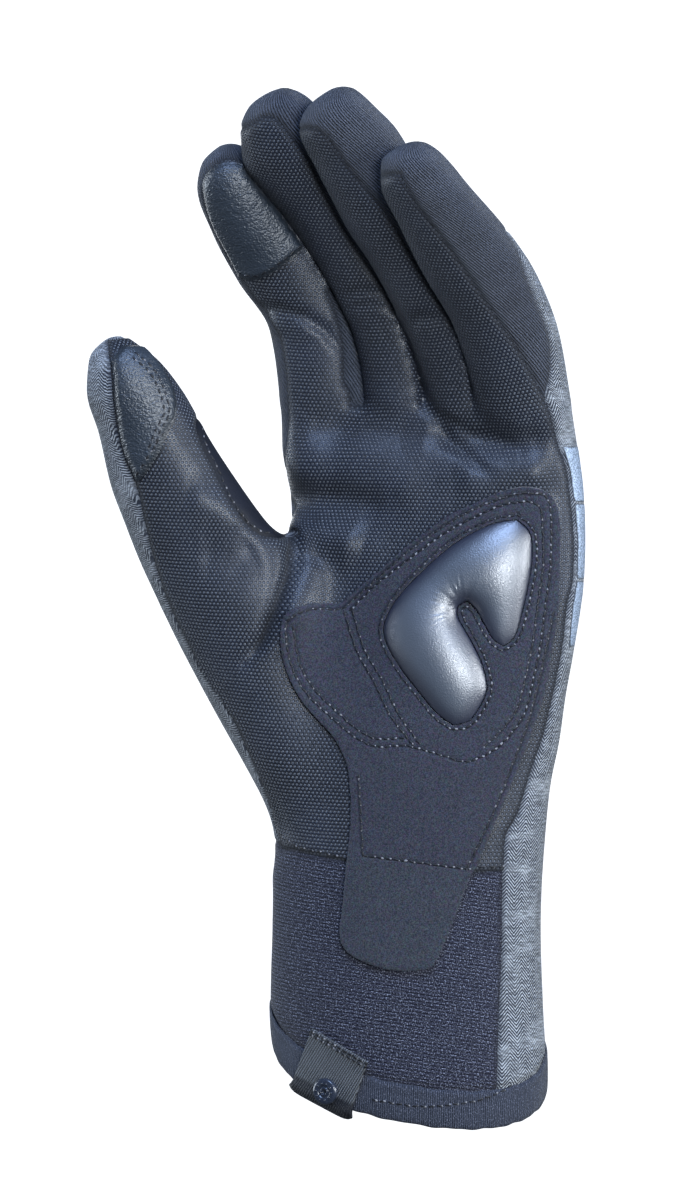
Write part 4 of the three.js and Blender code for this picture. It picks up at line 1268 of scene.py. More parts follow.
def dressed(material, base, roughness, height, distance):
    """Gives a material its colour, its roughness and its relief."""
    tree = material.node_tree
    bump = put(tree, "Bump", {"Height": height, "Distance": distance})
    feed(tree, Base_Color=base, Roughness=roughness, Normal=bump.outputs[0])
    return material


def on_top(tree, start, value, factor):
    """A value times a factor, on top of a start."""
    return calc(tree, "ADD", start, times(tree, value, factor))


def near_seam(tree, width):
    """A value that falls from 1 at the piece's edge to 0 at a width from it."""
    return use(tree, "Seam shade", width=width)["Near"]


def scaled(colour, factor):
    return tuple(channel * factor for channel in colour[:3])


def leather(colour, dot, pitch):
    material, tree = finish_base("embossed leather", Specular_IOR_Level=0.65)
    flat, solid = coordinates(tree, "UV"), coordinates(tree)
    net = use(tree, "Honeycomb", place=flat, pitch=pitch)
    mottle = rough_noise(tree, solid, 60, 3)
    fine = rough_noise(tree, solid, 1700, 2)
    seam = near_seam(tree, 0.0022)
    base = blend(tree, spread(tree, mottle, 0.35, 0.7), scaled(colour, 0.75), scaled(colour, 1.3))
    # Painted shade: the pits are darkened, as shade in them.
    base = blend(tree, times(tree, net["Pit"], 0.92), base, scaled(colour, 0.1))
    # Painted highlight: the middle of each pit is lightened, as light caught on its bottom.
    base = blend(tree, times(tree, net["Dot"], spread(tree, fine, 0.25, 0.6, 0.4, 1)), base, dot)
    # Painted shade: darker towards the seams.
    base = blend(tree, times(tree, seam, 0.7), base, scaled(colour, 0.3))
    rough = on_top(tree, 0.3, fine, 0.14)
    rough = calc(tree, "ADD", rough, times(tree, calc(tree, "MAXIMUM", net["Pit"], seam), 0.55))
    height = on_top(tree, net["Height"], fine, 0.2)
    return dressed(material, base, rough, height, 0.00024)


def grain_leather(colour):
    material, tree = finish_base("grain leather", Specular_IOR_Level=0.8)
    solid = coordinates(tree)
    grain = use(tree, "Pebbles", place=solid, size=0.00062)["Height"]
    drawn_out = vec(tree, "MULTIPLY", solid, (1, 1, 2.2))
    crease = calc(tree, "ABSOLUTE", calc(tree, "SUBTRACT", rough_noise(tree, drawn_out, 240, 2, 0.6), 0.5))
    crease = spread(tree, crease, 0.0, 0.07)
    mottle = rough_noise(tree, solid, 90, 3)
    seam = near_seam(tree, 0.0018)
    base = blend(tree, mottle, scaled(colour, 0.75), scaled(colour, 1.3))
    # Painted shade: darker towards the seams.
    base = blend(tree, times(tree, seam, 0.7), base, scaled(colour, 0.3))
    rough = on_top(tree, 0.36, mottle, 0.14)
    return dressed(material, base, rough, on_top(tree, grain, crease, 0.7), 0.00008)


def gusset_leather(colour):
    material, tree = finish_base("gusset leather", Specular_IOR_Level=0.25)
    solid = coordinates(tree)
    fine = rough_noise(tree, solid, 2200, 3)
    mottle = rough_noise(tree, solid, 120, 2)
    seam = near_seam(tree, 0.002)
    base = blend(tree, mottle, scaled(colour, 0.8), scaled(colour, 1.2))
    # Painted shade: darker towards the seams.
    base = blend(tree, times(tree, seam, 0.6), base, scaled(colour, 0.3))
    return dressed(material, base, on_top(tree, 0.48, fine, 0.25), fine, 0.0001)


def suede(colour, tail):
    material, tree = finish_base(
        "suede", Specular_IOR_Level=0.2, Sheen_Weight=0.2, Sheen_Roughness=0.5)
    solid = coordinates(tree)
    nap = rough_noise(tree, solid, 2600, 3, 0.75)
    tint = put(tree, "TexNoise", {"Vector": solid, "Scale": 1500.0, "Detail": 2.0}).outputs["Color"]
    brushed = rough_noise(tree, solid, 140, 4)
    row = put(tree, "Attribute", attribute_name="row").outputs["Fac"]
    dark = spread(tree, row, 0.0, 0.0006, 1, 0)
    x, _, z = put(tree, "SeparateXYZ", {0: solid}).outputs
    level = on_top(tree, z, x, 0.13)
    base = blend(tree, spread(tree, level, 0.0515, 0.0555, 1, 0), colour, tail)
    base = blend(tree, spread(tree, brushed, 0.3, 0.75, 0, 0.3), base, scaled(colour, 1.6))
    base = blend(tree, 0.07, base, tint)
    base = blend(tree, spread(tree, nap, 0.32, 0.66, 0.85, 0), base, scaled(colour, 0.2))
    # Painted shade: the suede is darkened along its sunk rows of stitches.
    base = blend(tree, times(tree, dark, 0.5), base, scaled(colour, 0.25))
    return dressed(material, base, on_top(tree, 0.8, nap, 0.2), nap, 0.00016)


def gel_film(colour, edge):
    material, tree = finish_base("gel film", Specular_IOR_Level=1.0, IOR=1.85)
    solid = coordinates(tree)
    grain = use(tree, "Pebbles", place=solid, size=0.00042)["Height"]
    mottle = rough_noise(tree, solid, 110, 3)
    speck = rough_noise(tree, solid, 2400, 2, 0.7)
    seam = near_seam(tree, 0.0052)
    base = blend(tree, mottle, scaled(colour, 0.8), scaled(colour, 1.2))
    # Painted shade: towards its edge the film turns dark navy, as shade on the pad's sloping sides.
    base = blend(tree, seam, base, edge)
    rough = on_top(tree, 0.27, speck, 0.26)
    return dressed(material, base, rough, on_top(tree, speck, grain, 0.4), 0.00006)


def knit(name, colour, pitch, loop, groove, depth, gleam):
    material, tree = finish_base(
        name, Specular_IOR_Level=0.35, Sheen_Weight=0.12, Sheen_Roughness=0.4)
    flat, solid = coordinates(tree, "UV"), coordinates(tree)
    rows = use(tree, "Courses", place=flat, pitch=pitch, loop=loop)
    mottle = rough_noise(tree, solid, 160, 3)
    grain = rough_noise(tree, vec(tree, "MULTIPLY", flat, (2300, 3000, 1)), 1.0, 1)
    seam = near_seam(tree, 0.002)
    base = blend(tree, mottle, scaled(colour, 0.7), scaled(colour, 1.2))
    # Painted shade: the grooves between the rows are darkened.
    base = blend(tree, times(tree, rows["Groove"], groove), base, scaled(colour, 0.1))
    # Painted highlight: light flecks as glints on the loops.
    base = blend(tree, spread(tree, grain, 0.52, 0.72, 0, gleam), base, (0.26, 0.28, 0.36))
    # Painted shade: darker towards the seams.
    base = blend(tree, times(tree, seam, 0.6), base, scaled(colour, 0.3))
    height = on_top(tree, rows["Height"], grain, 0.8)
    return dressed(material, base, on_top(tree, 0.6, grain, 0.3), height, depth)


def heather(colour, dark):
    material, tree = finish_base("heather fabric", Specular_IOR_Level=0.3, Sheen_Weight=0.15)
    flat, solid = coordinates(tree, "UV"), coordinates(tree)
    weave = use(tree, "Herringbone", place=flat, column=0.0025, thread=0.001)
    streak = rough_noise(tree, vec(tree, "MULTIPLY", flat, (260, 1800, 1)), 1.0, 4, 0.65)
    patch = rough_noise(tree, vec(tree, "MULTIPLY", flat, (50, 110, 1)), 1.0, 3)
    fuzz = rough_noise(tree, solid, 2400, 2)
    seam = near_seam(tree, 0.0015)
    base = blend(tree, spread(tree, streak, 0.36, 0.62), scaled(colour, 0.5), scaled(colour, 1.5))
    share = calc(tree, "SUBTRACT", 1.0, weave["Thread"])
    share = times(tree, share, spread(tree, patch, 0.36, 0.52, 0.55, 1.0))
    base = blend(tree, share, base, dark)
    # Painted shade: darker towards the seams.
    base = blend(tree, times(tree, seam, 0.6), base, dark)
    height = on_top(tree, weave["Thread"], fuzz, 0.6)
    return dressed(material, base, on_top(tree, 0.7, fuzz, 0.2), height, 0.00012)


def reflective(colour):
    material, tree = finish_base("reflective film", Specular_IOR_Level=0.6, Metallic=0.25)
    solid = coordinates(tree)
    beads = rough_noise(tree, solid, 2400, 2, 0.75)
    worn = rough_noise(tree, solid, 420, 4, 0.65)
    seam = near_seam(tree, 0.0005)
    base = blend(tree, spread(tree, beads, 0.38, 0.62), scaled(colour, 0.4), scaled(colour, 1.2))
    base = blend(tree, spread(tree, worn, 0.6, 0.7, 0, 0.5), base, scaled(colour, 0.35))
    # Painted shade: nearly black at the film's edge.
    base = blend(tree, times(tree, seam, 0.85), base, scaled(colour, 0.05))
    return dressed(material, base, on_top(tree, 0.38, worn, 0.25), beads, 0.00009)


def webbing(colour):
    material, tree = finish_base("webbing", Specular_IOR_Level=0.45)
    flat, solid = coordinates(tree, "UV"), coordinates(tree)
    ways = []
    for degrees, pitch in ((79, 0.0006), (-29, 0.00066)):
        turned = put(tree, "Mapping", {"Vector": flat, "Rotation": (0, 0, math.radians(degrees))}).outputs[0]
        ways.append(use(tree, "Courses", place=turned, pitch=pitch, loop=0.02))
    fuzz = rough_noise(tree, solid, 2600, 2)
    groove = calc(tree, "MAXIMUM", times(tree, ways[0]["Groove"], 0.95), calc(
        tree, "MULTIPLY", ways[1]["Groove"], 0.3))
    base = blend(tree, rough_noise(tree, solid, 200, 2), scaled(colour, 1.6), scaled(colour, 3))
    # Painted shade: the weave's grooves are darkened.
    base = blend(tree, groove, base, scaled(colour, 0.12))
    # Painted shade: nearly black from the lower end of the front, over the fold and up the back.
    length = put(tree, "SeparateXYZ", {0: flat}).outputs[1]
    base = blend(tree, spread(tree, length, 0.0124, 0.0138, 0, 0.95), base, (0.006, 0.007, 0.012))
    height = calc(tree, "ADD", calc(tree, "SUBTRACT", 1.0, groove), times(tree, fuzz, 0.4))
    return dressed(material, base, on_top(tree, 0.5, fuzz, 0.25), height, 0.00022)


def stud_plastic(colour):
    material, tree = finish_base("stud plastic", Specular_IOR_Level=0.6, Coat_Weight=0.4)
    solid = coordinates(tree)
    scuff = rough_noise(tree, solid, 900, 4, 0.7)
    base = blend(tree, scuff, scaled(colour, 0.7), scaled(colour, 1.4))
    return dressed(material, base, spread(tree, scuff, 0.3, 0.8, 0.16, 0.42), scuff, 0.00003)


def thread(colour):
    """Dark thread, with a painted highlight where each stitch comes up."""
    material, tree = finish_base("thread", Specular_IOR_Level=0.5)
    solid = coordinates(tree)
    twist = rough_noise(tree, solid, 1800, 2)
    uneven = rough_noise(tree, solid, 420, 1)
    end = put(tree, "Attribute", attribute_name="end").outputs["Fac"]
    end = calc(tree, "ADD", end, times(tree, calc(tree, "SUBTRACT", uneven, 0.5), 1.1))
    # Painted highlight: a pale stretch near one end of each stitch.
    glint = spread(tree, end, 0.24, 0.36, 0, 0.9)
    base = blend(tree, glint, colour, (0.22, 0.22, 0.24))
    return dressed(material, base, on_top(tree, 0.4, twist, 0.3), twist, 0.00006)


def lining(colour):
    material, tree = finish_base("fleece lining", Specular_IOR_Level=0.2, Sheen_Weight=0.3)
    solid = coordinates(tree)
    pile = rough_noise(tree, solid, 900, 4, 0.7)
    base = blend(tree, pile, scaled(colour, 0.6), scaled(colour, 1.4))
    return dressed(material, base, on_top(tree, 0.8, pile, 0.2), pile, 0.0004)


def finishes():
    """The glove's materials, made once from the chosen colours."""
    if "finishes" not in STORE:
        c = bpy.context.scene.glove_colours
        STORE["finishes"] = {
            "leather": leather(c.leather, c.leather_dot_highlight, 0.00113),
            "grain": grain_leather(c.grain),
            "gusset": gusset_leather(c.gusset),
            "suede": suede(c.suede, c.tail),
            "gel": gel_film(c.gel, c.gel_edge_shade),
            "rib": knit("rib knit", c.knit, 0.0008, 0.02, 1.0, 0.0003, 0.3),
            "cuff": knit("cuff knit", c.cuff, 0.001, 0.0006, 0.45, 0.00026, 0.8),
            "binding": knit("binding", c.binding, 0.0006, 0.02, 0.7, 0.00015, 0.35),
            "heather": heather(c.heather, c.heather_dark),
            "reflective": reflective(c.reflective),
            "webbing": webbing(c.webbing),
            "plastic": stud_plastic(c.stud),
            "thread": thread(c.thread),
            "lining": lining(c.lining),
        }
    return STORE["finishes"]


def ground(*pieces):
    """A tree of faces to lay stitches on."""
    points, faces = [], []
    for piece in pieces:
        mesh = piece.data
        start = len(points)
        points += [v.co for v in mesh.vertices]
        faces += [[start + i for i in polygon.vertices] for polygon in mesh.polygons]
    return BVHTree.FromPolygons(points, faces)


def on_ground(tree, x, z):
    """The place and normal in front at a point seen from the palm side."""
    place, normal, _, _ = tree.ray_cast(Vector((x * MM, -0.2, z * MM)), Vector((0, 1, 0)))
    if place is None:
        return None
    return place, (normal if normal.y < 0 else -normal)


def even_points(line, pitch, closed=False):
    """Points a pitch apart along a smooth line through points."""
    if closed:
        fine = drawn(line, 0.5, 75)
        fine = np.concatenate([fine, fine[:1]])
    else:
        p = np.array(line, float)
        at = lengths(p)
        want = np.linspace(0, at[-1], int(at[-1] / 0.5) + 2)
        fine = np.column_stack([monotone(at, p[:, c], want) for c in range(p.shape[1])]) if len(p) > 2 else p
    at = lengths(fine)
    count = max(2, round(at[-1] / pitch))
    want = np.linspace(0, at[-1], count, endpoint=not closed)
    return np.column_stack([np.interp(want, at, fine[:, c]) for c in range(fine.shape[1])])


def stitch_shape():
    """One stitch along X, one unit long and one wide: points and faces."""
    sides = 6
    turns = [2 * math.pi * k / sides for k in range(sides)]
    profile = [(-0.5, 0.0), (-0.44, 0.32), (-0.25, 0.5), (0.25, 0.5), (0.44, 0.32), (0.5, 0.0)]
    points = [(profile[0][0], 0, 0)]
    for x, r in profile[1:-1]:
        points += [(x, r * math.cos(a), r * math.sin(a)) for a in turns]
    points.append((profile[-1][0], 0, 0))
    faces = [(0, 1 + (k + 1) % sides, 1 + k) for k in range(sides)]
    for ring in range(len(profile) - 3):
        for k in range(sides):
            a, b = 1 + ring * sides + k, 1 + ring * sides + (k + 1) % sides
            faces += [(a, b, b + sides), (a, b + sides, a + sides)]
    last, start = len(points) - 1, 1 + (len(profile) - 3) * sides
    faces += [(last, start + k, start + (k + 1) % sides) for k in range(sides)]
    return np.array(points), np.array(faces)


def stitched(name, tree, lines, pitch=2.0, length=1.8, width=0.55, sink=0.17, slant=0.16):
    """Rows of stitches laid on the ground along lines seen from the palm side, as one piece. Every second
    stitch slants the other way."""
    shape, faces = stitch_shape()
    points, all_faces = [], []
    for line, closed in lines:
        spots = even_points(line, pitch, closed)
        for i, (x, z) in enumerate(spots):
            ahead = spots[(i + 1) % len(spots)] if closed else spots[min(i + 1, len(spots) - 1)]
            behind = spots[i - 1] if closed else spots[max(i - 1, 0)]
            found = on_ground(tree, x, z)
            way = ahead - behind
            way = way / max(np.linalg.norm(way), 1e-6)
            other = on_ground(tree, x + way[0] * 0.4, z + way[1] * 0.4)
            if found is None or other is None or (found[0] - other[0]).length > 0.0015:
                continue
            place, normal = found
            along = (other[0] - place).normalized()
            side = normal.cross(along).normalized()
            normal = along.cross(side).normalized()
            along = (along + side * slant * (1 if i % 2 else -1)).normalized()
            axes = np.array([along, normal.cross(along), normal])
            size = np.array([length, width, width * 0.8])
            centre = np.array(place) / MM + np.array(normal) * (width * 0.4 - sink)
            all_faces.append(faces + len(points) * len(shape))
            points.append((shape * size) @ axes + centre)
    mesh = mesh_of(name, np.concatenate(points), np.concatenate(all_faces))
    piece = placed(mesh)
    add_values(mesh, "end", np.tile(shape[:, 0], len(points)))
    mesh.materials.append(finishes()["thread"])
    finish(piece, angle=60)
    return piece


# Stitch rows on the palm side, as x and z.
HEEL_ROWS = [
    ([(-33.2, 117.4), (-31.9, 107.5), (-27.5, 99.4), (-20, 92.3), (-14, 87.5), (-8.4, 85.3), (-1.4, 85.6),
      (3.5, 84.5), (9.2, 82.9), (15.1, 81.3), (21.1, 83.4), (26.2, 87.5), (31, 94.5), (33.2, 102.9),
      (35.1, 112), (36.7, 123.9), (38, 135.5), (37.5, 151.2), (31.9, 153.4), (26.5, 152.6), (18.4, 149.6),
      (10.5, 145.3), (-0.3, 137.7), (-8.9, 130.1), (-15.1, 124.7), (-18.4, 122.3), (-25.4, 122.3),
      (-30.8, 120.7)], True),
    ([(-15.4, 122.3), (-9.7, 128), (0.3, 135.9), (11, 143.5), (18.9, 147.6), (26.5, 150.6), (32, 151.2),
      (35.4, 149), (36, 135.5), (34.6, 124.2), (33, 112.6), (31.2, 104), (29, 95.8), (24.5, 89.5),
      (20.5, 85.6)], False),
    ([(-17.3, 121), (-14, 111), (-9.5, 102.9), (-4.9, 93.4), (0.5, 86.4)], False),
    ([(-15.1, 121.3), (-12, 111.4), (-7.4, 103.5), (-2.8, 94), (2.4, 86.6)], False),
    ([(-31.2, 117), (-29.8, 108.4), (-25.8, 101), (-18.9, 94.2), (-13.4, 89.6), (-8, 87.3), (-2, 87.6)],
      False),
    ([(38.6, 121), (35.6, 106.4), (31.6, 91), (28.6, 82.9), (24.6, 72.4), (19.7, 61.3), (15.7, 52.9)],
      False),
    ([(-13.5, 77), (-12.4, 56.4)], False),
    ([(-11.9, 55.9), (2, 54.2), (15.7, 52.4)], False),
]
SEAM_ROWS = {
    "thumb_gusset": [
        [(-56.2, 173.4), (-55, 167.6), (-51.8, 160.8), (-47.6, 151.6), (-42.2, 144.8), (-38.2, 142.9),
         (-34, 143)],
    ],
    "thumb_patch": [
        [(-73.2, 190.9), (-68.9, 187.1), (-65.9, 181.2), (-64.5, 175.5), (-67, 170.1), (-68.6, 165.5)],
        [(-73.9, 189.6), (-70, 186.2), (-67.2, 180.8), (-65.9, 175.5), (-68.2, 170.4), (-69.8, 166.2)],
        [(-66.4, 169.4), (-69.8, 164), (-73.2, 158.8)],
    ],
    "index_patch": [[(-29.6, 219.9), (-33.2, 217), (-37.2, 214), (-42, 212.1), (-46, 212.9)]],
    "palm_panel": [[(-34.5, 61), (-30, 58.2), (-22, 56.4), (-17.6, 55.3)], [(17, 52.9), (25, 53)]],
    "hem_binding": [[(-9.2, -10), (4, -11.6), (15.9, -10.5), (24.6, -7.8), (32.7, -2.7)]],
}
TAB_ROWS = [[(-26, 8.3), (-11.6, -0.1)], [(-26.3, 7.4), (-11.9, -1)]]


def length(name, description, value, low, high):
    return FloatProperty(
        name=name, description=description, default=value, min=low, max=high, unit="LENGTH",
        subtype="DISTANCE")


class GloveSizes(bpy.types.PropertyGroup):
    """Sizes that a user would change."""

    wall: length("Panel thickness", "Leather, knit or fabric with the lining", WALL * MM, 0.0006, 0.003)
    seam_depth: length("Seam depth", "How far a panel turns in at its seams", 0.00032, 0, 0.002)
    overlay: length("Overlay thickness", "The suede overlay and the tip patches", 0.0011, 0.0004, 0.002)
    pad_height: length("Pad height", "Height of the gel pad above the palm", 0.0052, 0.002, 0.008)


def colour(name, description, value):
    return FloatVectorProperty(
        name=name, description=description, default=value, subtype="COLOR", size=3, min=0, max=1)


class GloveColours(bpy.types.PropertyGroup):
    """Base colours of the finishes."""

    leather: colour("Leather", "Embossed leather of the palm and thumb", (0.012, 0.0155, 0.027))
    # Painted highlight: the colour that the middles of the leather's pits are lightened to.
    leather_dot_highlight: colour("Leather dots", "Bottom of the leather's pits", (0.13, 0.148, 0.18))
    grain: colour("Grain leather", "Leather on the tips of thumb and index finger", (0.022, 0.03, 0.042))
    gusset: colour("Gusset", "Leather between thumb and palm", (0.009, 0.0105, 0.017))
    suede: colour("Suede", "Overlay on the heel of the hand", (0.018, 0.021, 0.041))
    tail: colour("Suede tail", "Lower end of the overlay", (0.023, 0.03, 0.047))
    gel: colour("Gel pad", "Film over the gel pad", (0.052, 0.066, 0.09))
    # Painted shade: the dark navy that the gel pad's film turns towards its sloping edge.
    gel_edge_shade: colour("Gel pad edge", "Film where it meets the overlay", (0.008, 0.012, 0.034))
    knit: colour("Finger knit", "Ribbed knit of the fingers", (0.06, 0.068, 0.09))
    cuff: colour("Cuff knit", "Knit on the palm side of the cuff", (0.0125, 0.0135, 0.03))
    binding: colour("Binding", "Binding of the hem", (0.03, 0.036, 0.056))
    heather: colour("Heather", "Grey fabric of the back", (0.3, 0.32, 0.345))
    heather_dark: colour("Heather dark", "Dark threads of the grey fabric", (0.018, 0.022, 0.034))
    reflective: colour("Reflective", "Band on the outer side", (0.38, 0.46, 0.58))
    webbing: colour("Webbing", "Pull tab", (0.05, 0.054, 0.06))
    stud: colour("Stud", "Press stud", (0.02, 0.026, 0.042))
    thread: colour("Thread", "Stitches", (0.004, 0.0045, 0.007))
    lining: colour("Lining", "Fleece inside the glove", (0.03, 0.033, 0.045))


def relief(puff, depth):
    """A panel's lift: puffed beside its seams, turned in at them, and pressed flat under the binding."""
    made, _ = skin()

    def lift(seam, used):
        hem = made.fields["hem"][used]
        free = np.clip((hem - BAND + 0.2) / 2.5, 0, 1)
        free = free * free * (3 - 2 * free)
        line = hill(seam, 0.7) * np.clip((hem - 2) / 4, 0, 1)
        return puff * hill(seam - 2.4, 1.7) * free - depth * line - 0.75 * (1 - free)

    return lift


def rolled(lift, drop, width):
    """A piece's lift, which drops at its edge."""
    return lambda seam, used: lift - drop * hill(seam, width)


def panel(node, key, uv, material, slot, puff=0.0):
    """A sewn panel of the shell."""
    sizes = bpy.context.scene.glove_sizes
    _, panels = skin()
    materials = (finishes()[material], finishes()["lining"])
    return shell_piece(
        node, panels[key], -sizes.wall / MM, relief(puff, sizes.seam_depth / MM), uv, materials)


class GLOVE_OT_palm(bpy.types.Operator):
    """Builds the embossed leather palm, which runs up the front of the fingers"""

    bl_idname = "glove.palm"
    bl_label = "Palm panel"

    def execute(self, context):
        panel("palm_panel", "palm", laid_flat, "leather", "embossed_leather", 0.07)
        return {"FINISHED"}


class GLOVE_OT_thumb(bpy.types.Operator):
    """Builds the thumb's leather front, its gusset and its fabric back"""

    bl_idname = "glove.thumb"
    bl_label = "Thumb panels"

    def execute(self, context):
        panel("thumb_panel", "thumb", laid_flat, "leather", "embossed_leather", 0.1)
        panel("thumb_gusset", "gusset", planar, "gusset", "gusset_leather", 0.1)
        panel("thumb_back", "thumb_back", laid_flat, "heather", "heather_fabric")
        return {"FINISHED"}


class GLOVE_OT_knits(bpy.types.Operator):
    """Builds the ribbed knit of the four fingers"""

    bl_idname = "glove.knits"
    bl_label = "Finger knits"

    def execute(self, context):
        for finger in FINGERS:
            panel(finger + "_knit", finger + "_knit", round_form(finger, 28), "rib", "rib_knit")
        return {"FINISHED"}


class GLOVE_OT_back(bpy.types.Operator):
    """Builds the heather fabric back of the hand, the fingers and the cuff"""

    bl_idname = "glove.back"
    bl_label = "Back panel"

    def execute(self, context):
        panel("back_panel", "back", over_the_back, "heather", "heather_fabric")
        return {"FINISHED"}


class GLOVE_OT_cuff(bpy.types.Operator):
    """Builds the dense knit on the palm side of the cuff"""

    bl_idname = "glove.cuff"
    bl_label = "Cuff knit"

    def execute(self, context):
        panel("cuff_knit", "cuff", unrolled(-math.pi / 2, 0.14), "cuff", "cuff_knit_fabric")
        return {"FINISHED"}


class GLOVE_OT_heel(bpy.types.Operator):
    """Builds the suede overlay on the heel of the hand, with its sewn rows"""

    bl_idname = "glove.heel"
    bl_label = "Heel overlay"

    def execute(self, context):
        made, _ = skin()
        thick = context.scene.glove_sizes.overlay / MM
        faces, _ = made.cut(made.finer(made.about("heel"), "heel", "pad"), "heel")
        _, faces = made.cut(faces, "pad")

        def shape(seam, used):
            x, z = made.base[used][:, 0], made.base[used][:, 2]
            rows = [to_line(even_points(line, 1.0, closed), x, z, closed)[0] for line, closed in HEEL_ROWS]
            row = np.min([*rows, np.abs(made.fields["pad"][used] + PAD_ROW)], axis=0)
            STORE["heel_row"] = row
            return GAP + thick - 0.22 * hill(row, 0.6) - 0.25 * hill(seam, 0.35)

        piece = shell_piece("heel_overlay", faces, GAP, shape, planar, [finishes()["suede"]])
        row = STORE["heel_row"] * MM
        add_values(piece.data, "row", np.concatenate([row, row]))
        return {"FINISHED"}


class GLOVE_OT_pad(bpy.types.Operator):
    """Builds the raised gel pad"""

    bl_idname = "glove.pad"
    bl_label = "Gel pad"

    def execute(self, context):
        made, _ = skin()
        height = context.scene.glove_sizes.pad_height / MM
        near = made.about("pad")
        near = near[made.normals[near][:, 0, 1] < 0]
        faces, _ = made.cut(made.finer(near, "pad"), "pad", 0.25)
        rim, notch = 0.2, (15.2, 121.8)

        def shape(seam, used):
            x, z = made.base[used][:, 0], made.base[used][:, 2]
            level = inflated(PAD, x, z)
            # Fine creases fan out round the notch between the two lobes.
            x, z = x - notch[0], z - notch[1]
            angle, far = np.arctan2(z, x) % (2 * math.pi), np.hypot(x, z)
            ray = np.sin(angle * 23 + 2.2 * np.sin(angle * 7)) + 0.5 * np.sin(angle * 41)
            crease = ray * hill(far - 4.5, 3.4) * np.clip((angle - 0.9) * 2, 0, 1)
            crease *= np.clip((3.9 - angle) * 2, 0, 1)
            return GAP + rim + (height - rim) * level + 0.1 * crease * level

        piece = shell_piece("gel_pad", faces, GAP, shape, planar, [finishes()["gel"]])
        return {"FINISHED"}


class GLOVE_OT_patches(bpy.types.Operator):
    """Builds the grain leather patches on the tips of thumb and index finger"""

    bl_idname = "glove.patches"
    bl_label = "Tip patches"

    def execute(self, context):
        made, _ = skin()
        thick = context.scene.glove_sizes.overlay / MM
        for name in ("index_patch", "thumb_patch"):
            faces, _ = made.cut(made.finer(made.about(name), name), name)
            shape = rolled(GAP + thick, 0.8, 1.1)
            shell_piece(name, faces, GAP - 0.2, shape, planar, [finishes()["grain"]])
        return {"FINISHED"}


class GLOVE_OT_reflectors(bpy.types.Operator):
    """Builds the three lengths of reflective film on the outer side"""

    bl_idname = "glove.reflectors"
    bl_label = "Reflective band"

    def execute(self, context):
        made, _ = skin()
        for name in REFLECTORS:
            faces, _ = made.cut(made.about(name), name)
            shape = rolled(0.28, 0.1, 0.5)
            shell_piece(name, faces, -0.2, shape, planar, [finishes()["reflective"]])
        return {"FINISHED"}


def swept(name, rows):
    """A closed mesh from a closed round of rings of points."""
    count, sides = rows.shape[:2]
    i, j = np.meshgrid(np.arange(count), np.arange(sides), indexing="ij")
    a, b = i * sides + j, i * sides + (j + 1) % sides
    c, d = (i + 1) % count * sides + (j + 1) % sides, (i + 1) % count * sides + j
    return mesh_of(name, rows.reshape(-1, 3), np.stack([a, b, c, d], axis=2).reshape(-1, 4))


class GLOVE_OT_binding(bpy.types.Operator):
    """Builds the ribbed binding that is folded over the hem"""

    bl_idname = "glove.binding"
    bl_label = "Hem binding"

    def execute(self, context):
        count, band, lip = 360, BAND, 1.5
        angle = np.linspace(0, 2 * math.pi, count, endpoint=False)
        outer, inner = 0.45, -WALL - 1.5
        # The profile, as lift and height: down the outside, round the hem's lip, up the inside, and back down
        # and up beside the panels.
        profile = [(-0.85, band - 0.4), (-0.6, band), (-0.1, band + 0.05), (0.22, band - 0.35)]
        profile += [(outer, band - 1.1), (outer - 0.18, band - 2.2), (outer + 0.05, band - 3.2)]
        profile += [(outer + 0.1, 3.6), (outer + 0.1, 1.6), (outer + 0.05, 0.2)]
        middle, radius = (outer + inner) / 2, (outer - inner) / 2 + 0.05
        for k in range(1, 10):
            turn = math.pi * k / 10
            profile.append((middle + radius * math.cos(turn), 0.1 - (lip + 0.1) * math.sin(turn) ** 0.8))
        profile += [(inner, h) for h in (0.2, 1.5, 3.5, 5.5, 7.5, band - 0.4)]
        profile += [(inner + 0.3, band), (inner + 0.65, band - 0.2)]
        profile += [(-WALL - 0.8, h) for h in (7.5, 4.0, 0.9)]
        profile += [(-1.2, 0.5)] + [(-0.85, h) for h in (0.9, 4.0, 7.5)]
        rings_round = np.stack([hand_point(angle, h, lift) for lift, h in profile], axis=1)
        ripple = 0.12 * np.sin(angle * 23) + 0.08 * np.sin(angle * 41 + 1)
        rings_round[:, :, 2] += ripple[:, None]
        mesh = swept("hem_binding_cloth", rings_round)
        piece = placed(mesh)
        mesh.materials.append(finishes()["binding"])
        # The map runs over the profile, and round the hem along the profile's ninth point.
        across, round_it = lengths(rings_round[0]), lengths(rings_round[:, 8])
        add_uv(mesh, np.stack([np.tile(across, count), np.repeat(round_it, len(profile))], axis=1))
        add_values(mesh, "seam", np.full(len(mesh.vertices), 0.01))
        active(piece)
        bpy.ops.object.mode_set(mode="EDIT")
        bpy.ops.mesh.select_all(action="SELECT")
        bpy.ops.mesh.normals_make_consistent(inside=False)
        bpy.ops.object.mode_set(mode="OBJECT")
        finish(piece, ["hem_binding"])
        STORE["hem_binding"] = piece
        return {"FINISHED"}


